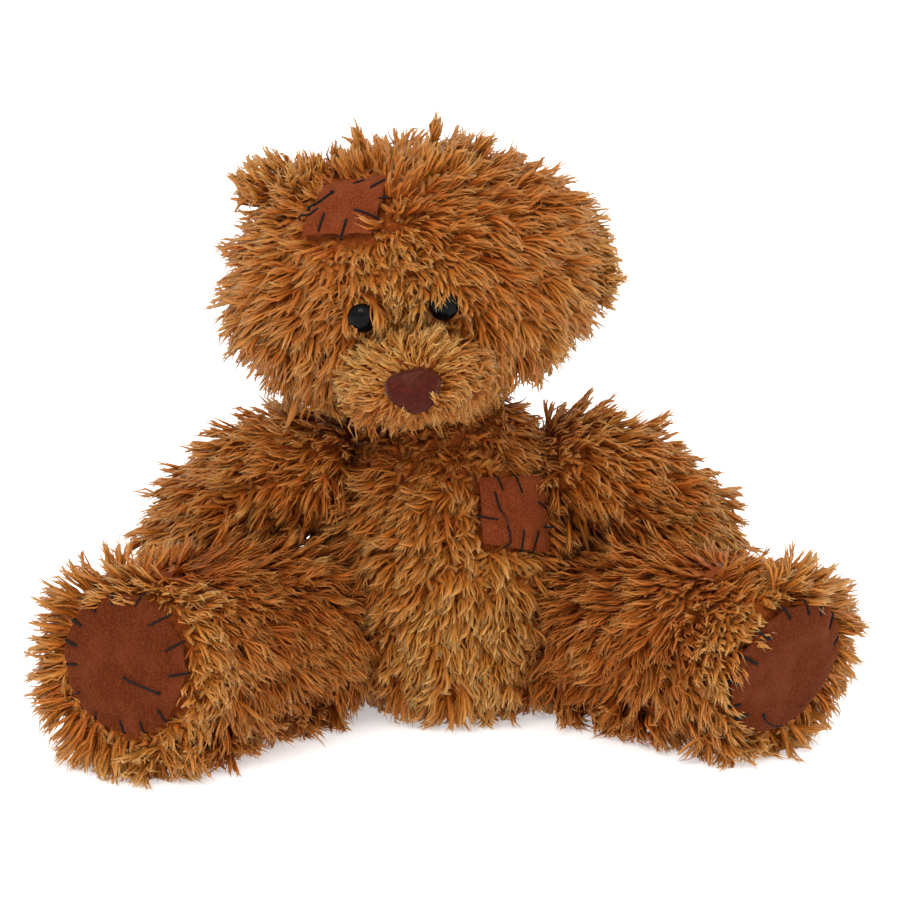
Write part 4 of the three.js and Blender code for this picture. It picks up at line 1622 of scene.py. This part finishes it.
# away from a parting, and any way at all close to it
def fromParting(spot, parting, loose):
    away = spot - parting
    near = smoothStep(loose, 0.25 * loose, away.length)
    mixed = noise.noise_vector(spot / (4 * mm) + Vector((7, 3, 1)))
    return away.normalized() * (1 - 0.8 * near) + mixed * 2.4 * near, near


def combHead(spot, normal):
    flow, near = fromParting(spot, headParting, 11 * mm)
    local = spot - headMiddle
    height = local.dot(headUp) / headHalf.z
    front = local.dot(headFront) / headHalf.y
    aside = abs(local.dot(headAside)) / headHalf.x
    length = 13.5 * mm - 1.5 * mm * smoothStep(0.2, 0.9, height) + 2.5 * mm * smoothStep(0.45, 0.9, aside)
    length -= 3 * mm * smoothStep(0.75, 1.0, front)
    flow = flow + Vector((0, 0, -0.55)) * smoothStep(0.4, -0.5, height)
    lift = 2 + 13 * smoothStep(0.5, 0.95, aside) + 16 * near + 5 * smoothStep(0.6, 1.0, height)
    brow = spot - headParting
    down = smoothStep(4 * mm, 10 * mm, -brow.dot(headUp)) * smoothStep(16 * mm, 8 * mm, abs(brow.dot(headAside)))
    flow = flow * (1 - 0.75 * down) - headUp * 1.2 * down
    tone = 0.36 + 0.2 * smoothStep(0.4, 1.0, aside) + 0.22 * smoothStep(0.6, 1.0, height) + 0.28 * down
    tone += 0.12 * smoothStep(0.2, -0.4, height)
    # by the root of the left ear the pile is shorter and lies lower, and its tone is darker: painted shade in the
    # crease
    lobe, lobeNormal, order, far = trees["ear_left"].find_nearest(spot)
    crease = smoothStep(6 * mm, 2 * mm, far) * smoothStep(1 * mm, -3 * mm, spot.x - middle("ear_left").x)
    return flow, lift - 6 * crease, length - 1.5 * mm * down - 4 * mm * crease, tone - 0.5 * crease


def combMuzzle(spot, normal):
    away = spot - noseMiddle
    flow = away.normalized() + Vector((0, 0, -0.25))
    # the muzzle's pile is darker towards its underside, painted shade under the muzzle, and darker towards the bear's
    # left
    tone = 0.3 + 0.55 * smoothStep(-3 * mm, 9 * mm, away.dot(headUp) - 0.4 * away.dot(headAside))
    return flow, 2, 7.5 * mm, tone


bellyParting = Vector((middle("torso_skin").x + 2 * mm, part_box("torso_skin")[0].y, cadSize.z * 0.37))
partings["torso"] = [(bellyParting, 13 * mm), (bellyParting + up * 16 * mm, 9 * mm), (bellyParting + up * 28 * mm, 9 * mm)]


def combTorso(spot, normal):
    flow, near = fromParting(spot, bellyParting, 12 * mm)
    flow.y *= 0.3
    if flow.z > 0:
        flow.z *= 0.2
    flow.z -= 0.6 * (1 - near)
    behind = smoothStep(-0.1, 0.5, normal.y)
    flow = flow.normalized() * (1 - behind) + Vector((normal.x * 0.6, 0, -1)) * behind
    low = smoothStep(0.08, 0.04, spot.z) * smoothStep(26 * mm, 12 * mm, abs(spot.x - bellyParting.x))
    # under the chin the pile is shorter and lies lower, and its tone is darker: painted shade beneath the head
    chin = smoothStep(0.08, 0.091, spot.z) * smoothStep(30 * mm, 16 * mm, abs(spot.x - noseMiddle.x))
    return flow, 1 + 12 * near - 8 * chin, (13 - 7.5 * chin) * mm, 0.38 + 0.56 * low - 0.5 * chin


def combArm(side):
    low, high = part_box("arm_skin_" + side)
    centre = (low + high) / 2
    inner = high.x if side == "right" else low.x
    shoulder = Vector((inner, centre.y - 2 * mm, high.z - 10 * mm))

    def comb(spot, normal):
        flow = (spot - shoulder).normalized() + Vector((0, 0, -0.35))
        return flow, 4, 14.5 * mm, 0.4 + 0.2 * smoothStep(0.1, 0.8, normal.x * (1 if side == "left" else -1))
    return comb


def combLeg(side):
    low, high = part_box("leg_skin_" + side)
    inner = high.x if side == "right" else low.x
    outward = -1 if side == "right" else 1
    hip = Vector((inner, high.y - 12 * mm, (low.z + high.z) / 2))
    sole = soles[side]
    pad = sole.translation
    out = sole.to_3x3().col[2]

    def comb(spot, normal):
        along = (spot - hip).normalized()
        along = Vector((0.6 * along.x + 0.55 * outward, 0.35 * along.y, 0.6 * along.z - 0.7))
        toPad = smoothStep(42 * mm, 16 * mm, abs((spot - pad).dot(out))) * (0.35 if side == "right" else 1)
        along = along * toPad + Vector((-0.45 * outward, 0.1, -0.85)) * (1 - toPad)
        rim = smoothStep(24 * mm, 7 * mm, abs((spot - pad).dot(out)))
        away = (spot - pad).normalized()
        outer = smoothStep(-0.45, 0.3, away.x * outward - 0.3 * away.z)
        onSole = smoothStep(0.6, 0.9, normal.dot(out))
        flow = along * (1 - 0.6 * rim * outer) + away * (0.5 * rim + 3 * onSole) * outer
        low = smoothStep(22 * mm, 6 * mm, spot.z) * smoothStep(0.2, -0.4, normal.y) * (1 - onSole)
        flow = flow + Vector((0, -0.9, 0)) * low
        lift = 2 + 22 * rim * (1 - onSole) * outer + 7 * low
        length = (13 + 5 * rim * outer - 3 * rim * (1 - outer) + 5 * low) * mm
        return flow, lift, length, 0.16 + 0.5 * rim + 0.2 * smoothStep(20 * mm, 6 * mm, spot.z)
    return comb


# long locks that stand out round the outer side of a foot, more of them low down
def rimLocks(side):
    outward = -1 if side == "right" else 1
    turned = soles[side]
    turn = turned.to_3x3()
    out = turn.col[2]
    chance = random.Random(31)
    found = []
    while len(found) < 150:
        angle = chance.uniform(0, 360)
        edge = onOval(padOvals[side], angle, 1)
        ahead = (turn @ Vector((edge.x, edge.y, 0))).normalized()
        if ahead.x * outward - 0.35 * ahead.z < -0.35:
            continue
        start = turned @ Vector((edge.x, edge.y, 0)) + ahead * 10 * mm - out * chance.uniform(0.5, 11) * mm
        hit, normal = trees["leg_" + side].find_nearest(start)[:2]
        flow = ahead + out * chance.uniform(-0.1, 0.35) + Vector((0, 0, -0.25))
        found.append((hit, normal, flow, chance.uniform(14, 46), chance.uniform(15, 18.5) * mm))
    for order in range(30):        # more of them over the parting above the pad
        start = turned.translation + up * 20 * mm - out * chance.uniform(2, 18) * mm
        start.x += chance.uniform(-9, 9) * mm
        hit, normal = trees["leg_" + side].find_nearest(start)[:2]
        found.append((hit, normal, Vector((outward, -0.35, 0.1)), chance.uniform(5, 20), 13 * mm))
    return found


def combEar(spot, normal):
    return (spot - headMiddle).normalized() + Vector((0, 0, -0.2)), 8, 12 * mm, 0.72


def onFaceSide(spot, normal):
    return (spot - headMiddle).dot(headFront) > -2 * mm


def onBackSide(spot, normal):
    return not onFaceSide(spot, normal)


# single locks that hang by the eyes: aside of the eye and above it in mm, flow aside, lift, length in mm
browLocks = {
    "right": [(-3.6, 6.0, 0.02, 4, 12.5), (-2.9, 6.6, 0.0, 6, 11.5), (-4.6, 3.4, 0.1, 2, 11), (-3.6, 1.0, 0.02, 2, 8),
              (4.8, 5.8, -0.04, 5, 12.5), (4.1, 6.4, 0.0, 7, 11.5), (5.2, 3.0, -0.05, 3, 10),
              (-1.2, 7.4, -0.1, 6, 5), (1.8, 7.4, 0.05, 6, 5), (4.8, 0.6, 0.0, 0, 7)],
    "left": [(-1.9, 6.8, 0.04, 6, 6.5), (-0.4, 7.2, 0.0, 8, 9.5), (1.4, 7.0, -0.03, 8, 9),
             (2.9, 6.6, 0.05, 6, 7.5), (5.2, 6.0, 0.1, 4, 9), (5.9, 3.8, 0.02, 3, 10),
             (-5.9, 4.6, 0.04, 2, 9), (-4.6, 6.4, -0.1, 6, 6)],
}


def onHead(spot):
    hit, normal = trees["head"].ray_cast(spot + headFront * 40 * mm, -headFront)[:2]
    return hit, normal


def hangingLocks():
    found = []
    for side, locks in browLocks.items():
        for aside, rise, sway, lift, length in locks:
            hit, normal = onHead(eyes[side] + headAside * aside * mm + headUp * rise * mm)
            if hit is not None:
                found.append((hit + headFront * 3.4 * mm, headFront, headAside * sway - headUp, lift, length * mm))
    return found


# a tuft that stands out of the pile, where a line from the middle of a body leaves it
def strayTuft(name, ahead, flow, length, count, seed, spread=1.4 * mm, lift=42):
    chance = random.Random(seed)
    low, high = (Vector(corner) for corner in boxes[name])
    ahead = ahead.normalized()
    hit, normal = trees[name].ray_cast((low + high) / 2 + ahead * 0.2, -ahead)[:2]
    found = []
    for order in range(count):
        aside = Vector([chance.uniform(-1, 1) for axis in range(3)]) * spread
        start = hit + aside - normal * aside.dot(normal)
        found.append((start, normal, flow, lift + chance.uniform(-7, 7), length * chance.uniform(0.75, 1.05)))
    return found


headTufts = (
    strayTuft("head", Vector((-0.3, -0.15, 1)), Vector((-0.5, 0, 0.3)), 18 * mm, 6, 1, 1.1 * mm, 62)
    + strayTuft("head", Vector((0.14, -0.15, 1)), Vector((0.5, -0.1, 0.2)), 16 * mm, 5, 2, 1.1 * mm, 60)
    + strayTuft("head", Vector((0.5, -0.2, 1)), Vector((0.6, 0, 0.4)), 15 * mm, 4, 3, 1.1 * mm, 52)
    + strayTuft("head", Vector((-1.35, 0.1, 1)), Vector((-0.1, -0.2, 1)), 14 * mm, 26, 6, 6 * mm, 38)
    + strayTuft("head", Vector((-0.75, -0.3, -1)), Vector((-0.2, -0.2, -1)), 14 * mm, 22, 7, 8 * mm, 12)
    + strayTuft("head", Vector((0.6, -0.3, -1)), Vector((0.2, -0.2, -1)), 14 * mm, 16, 8, 7 * mm, 12)
    + strayTuft("head", Vector((-0.95, -0.05, 1)), Vector((-0.3, -0.2, 0.9)), 14 * mm, 26, 4, 7 * mm, 34)
)


def onFront(spot, normal):
    return spot.y < torsoMiddle.y


def onBack(spot, normal):
    return spot.y >= torsoMiddle.y


frontPile = {"spacing": 1.85 * mm}
backPile = {"spacing": 2.15 * mm}
growPile("head_pile_front", bodies["head"], "head", combHead, dict(frontPile, seed=1), onFaceSide,
         hangingLocks() + headTufts)
growPile("head_pile_back", bodies["head"], "head", combHead, dict(backPile, seed=1), onBackSide)
# locks over the lower edges of the nose: aside and above its middle in mm, flow aside and up, length in mm
noseLocks = [(6.8, -5.2, -0.3, 1, 6.5), (7.6, -3.4, -0.5, 0.8, 4.5), (-5.6, -6.2, 0.7, 0.5, 4.5), (-3.4, -8.0, 0.5, 1, 4)]
overNose = [
    (noseMiddle + headAside * aside * mm + headUp * rise * mm - headFront * 0.5 * mm, headFront,
     headAside * flowAside + headUp * flowUp, 8, length * mm)
    for aside, rise, flowAside, flowUp, length in noseLocks
]
growPile("muzzle_pile", bodies["muzzle"], "muzzle", combMuzzle,
         {"spacing": 1.3 * mm, "seed": 3, "finish": "shortPile", "width": 0.55, "stragglers": 0.02,
          "unruly": 1.5, "under": 0.8}, extras=overNose)
growPile("torso_pile_front", bodies["torso"], "torso", combTorso, dict(frontPile, seed=5), onFront)
growPile("torso_pile_back", bodies["torso"], "torso", combTorso, dict(backPile, seed=5), onBack)
for side, seed in (("right", 10), ("left", 20)):
    growPile("arm_pile_" + side, bodies["arm_" + side], "arm_" + side, combArm(side),
             {"spacing": 1.96 * mm, "seed": seed})
    growPile("leg_pile_" + side, bodies["leg_" + side], "leg_" + side, combLeg(side),
             {"spacing": 1.91 * mm, "seed": seed + 1, "underShare": 0.75}, extras=rimLocks(side))
    growPile("ear_pile_" + side, bodies["ear_" + side], "ear_" + side, combEar,
             {"spacing": 1.3 * mm, "seed": seed + 2},
             extras=strayTuft("ear_right", Vector((0.4, -0.1, 1)), Vector((-0.3, 0, 1)), 12 * mm, 12, 5, 4 * mm, 20)
             if side == "right" else ())
for body in bodies.values():
    bpy.data.objects.remove(body)
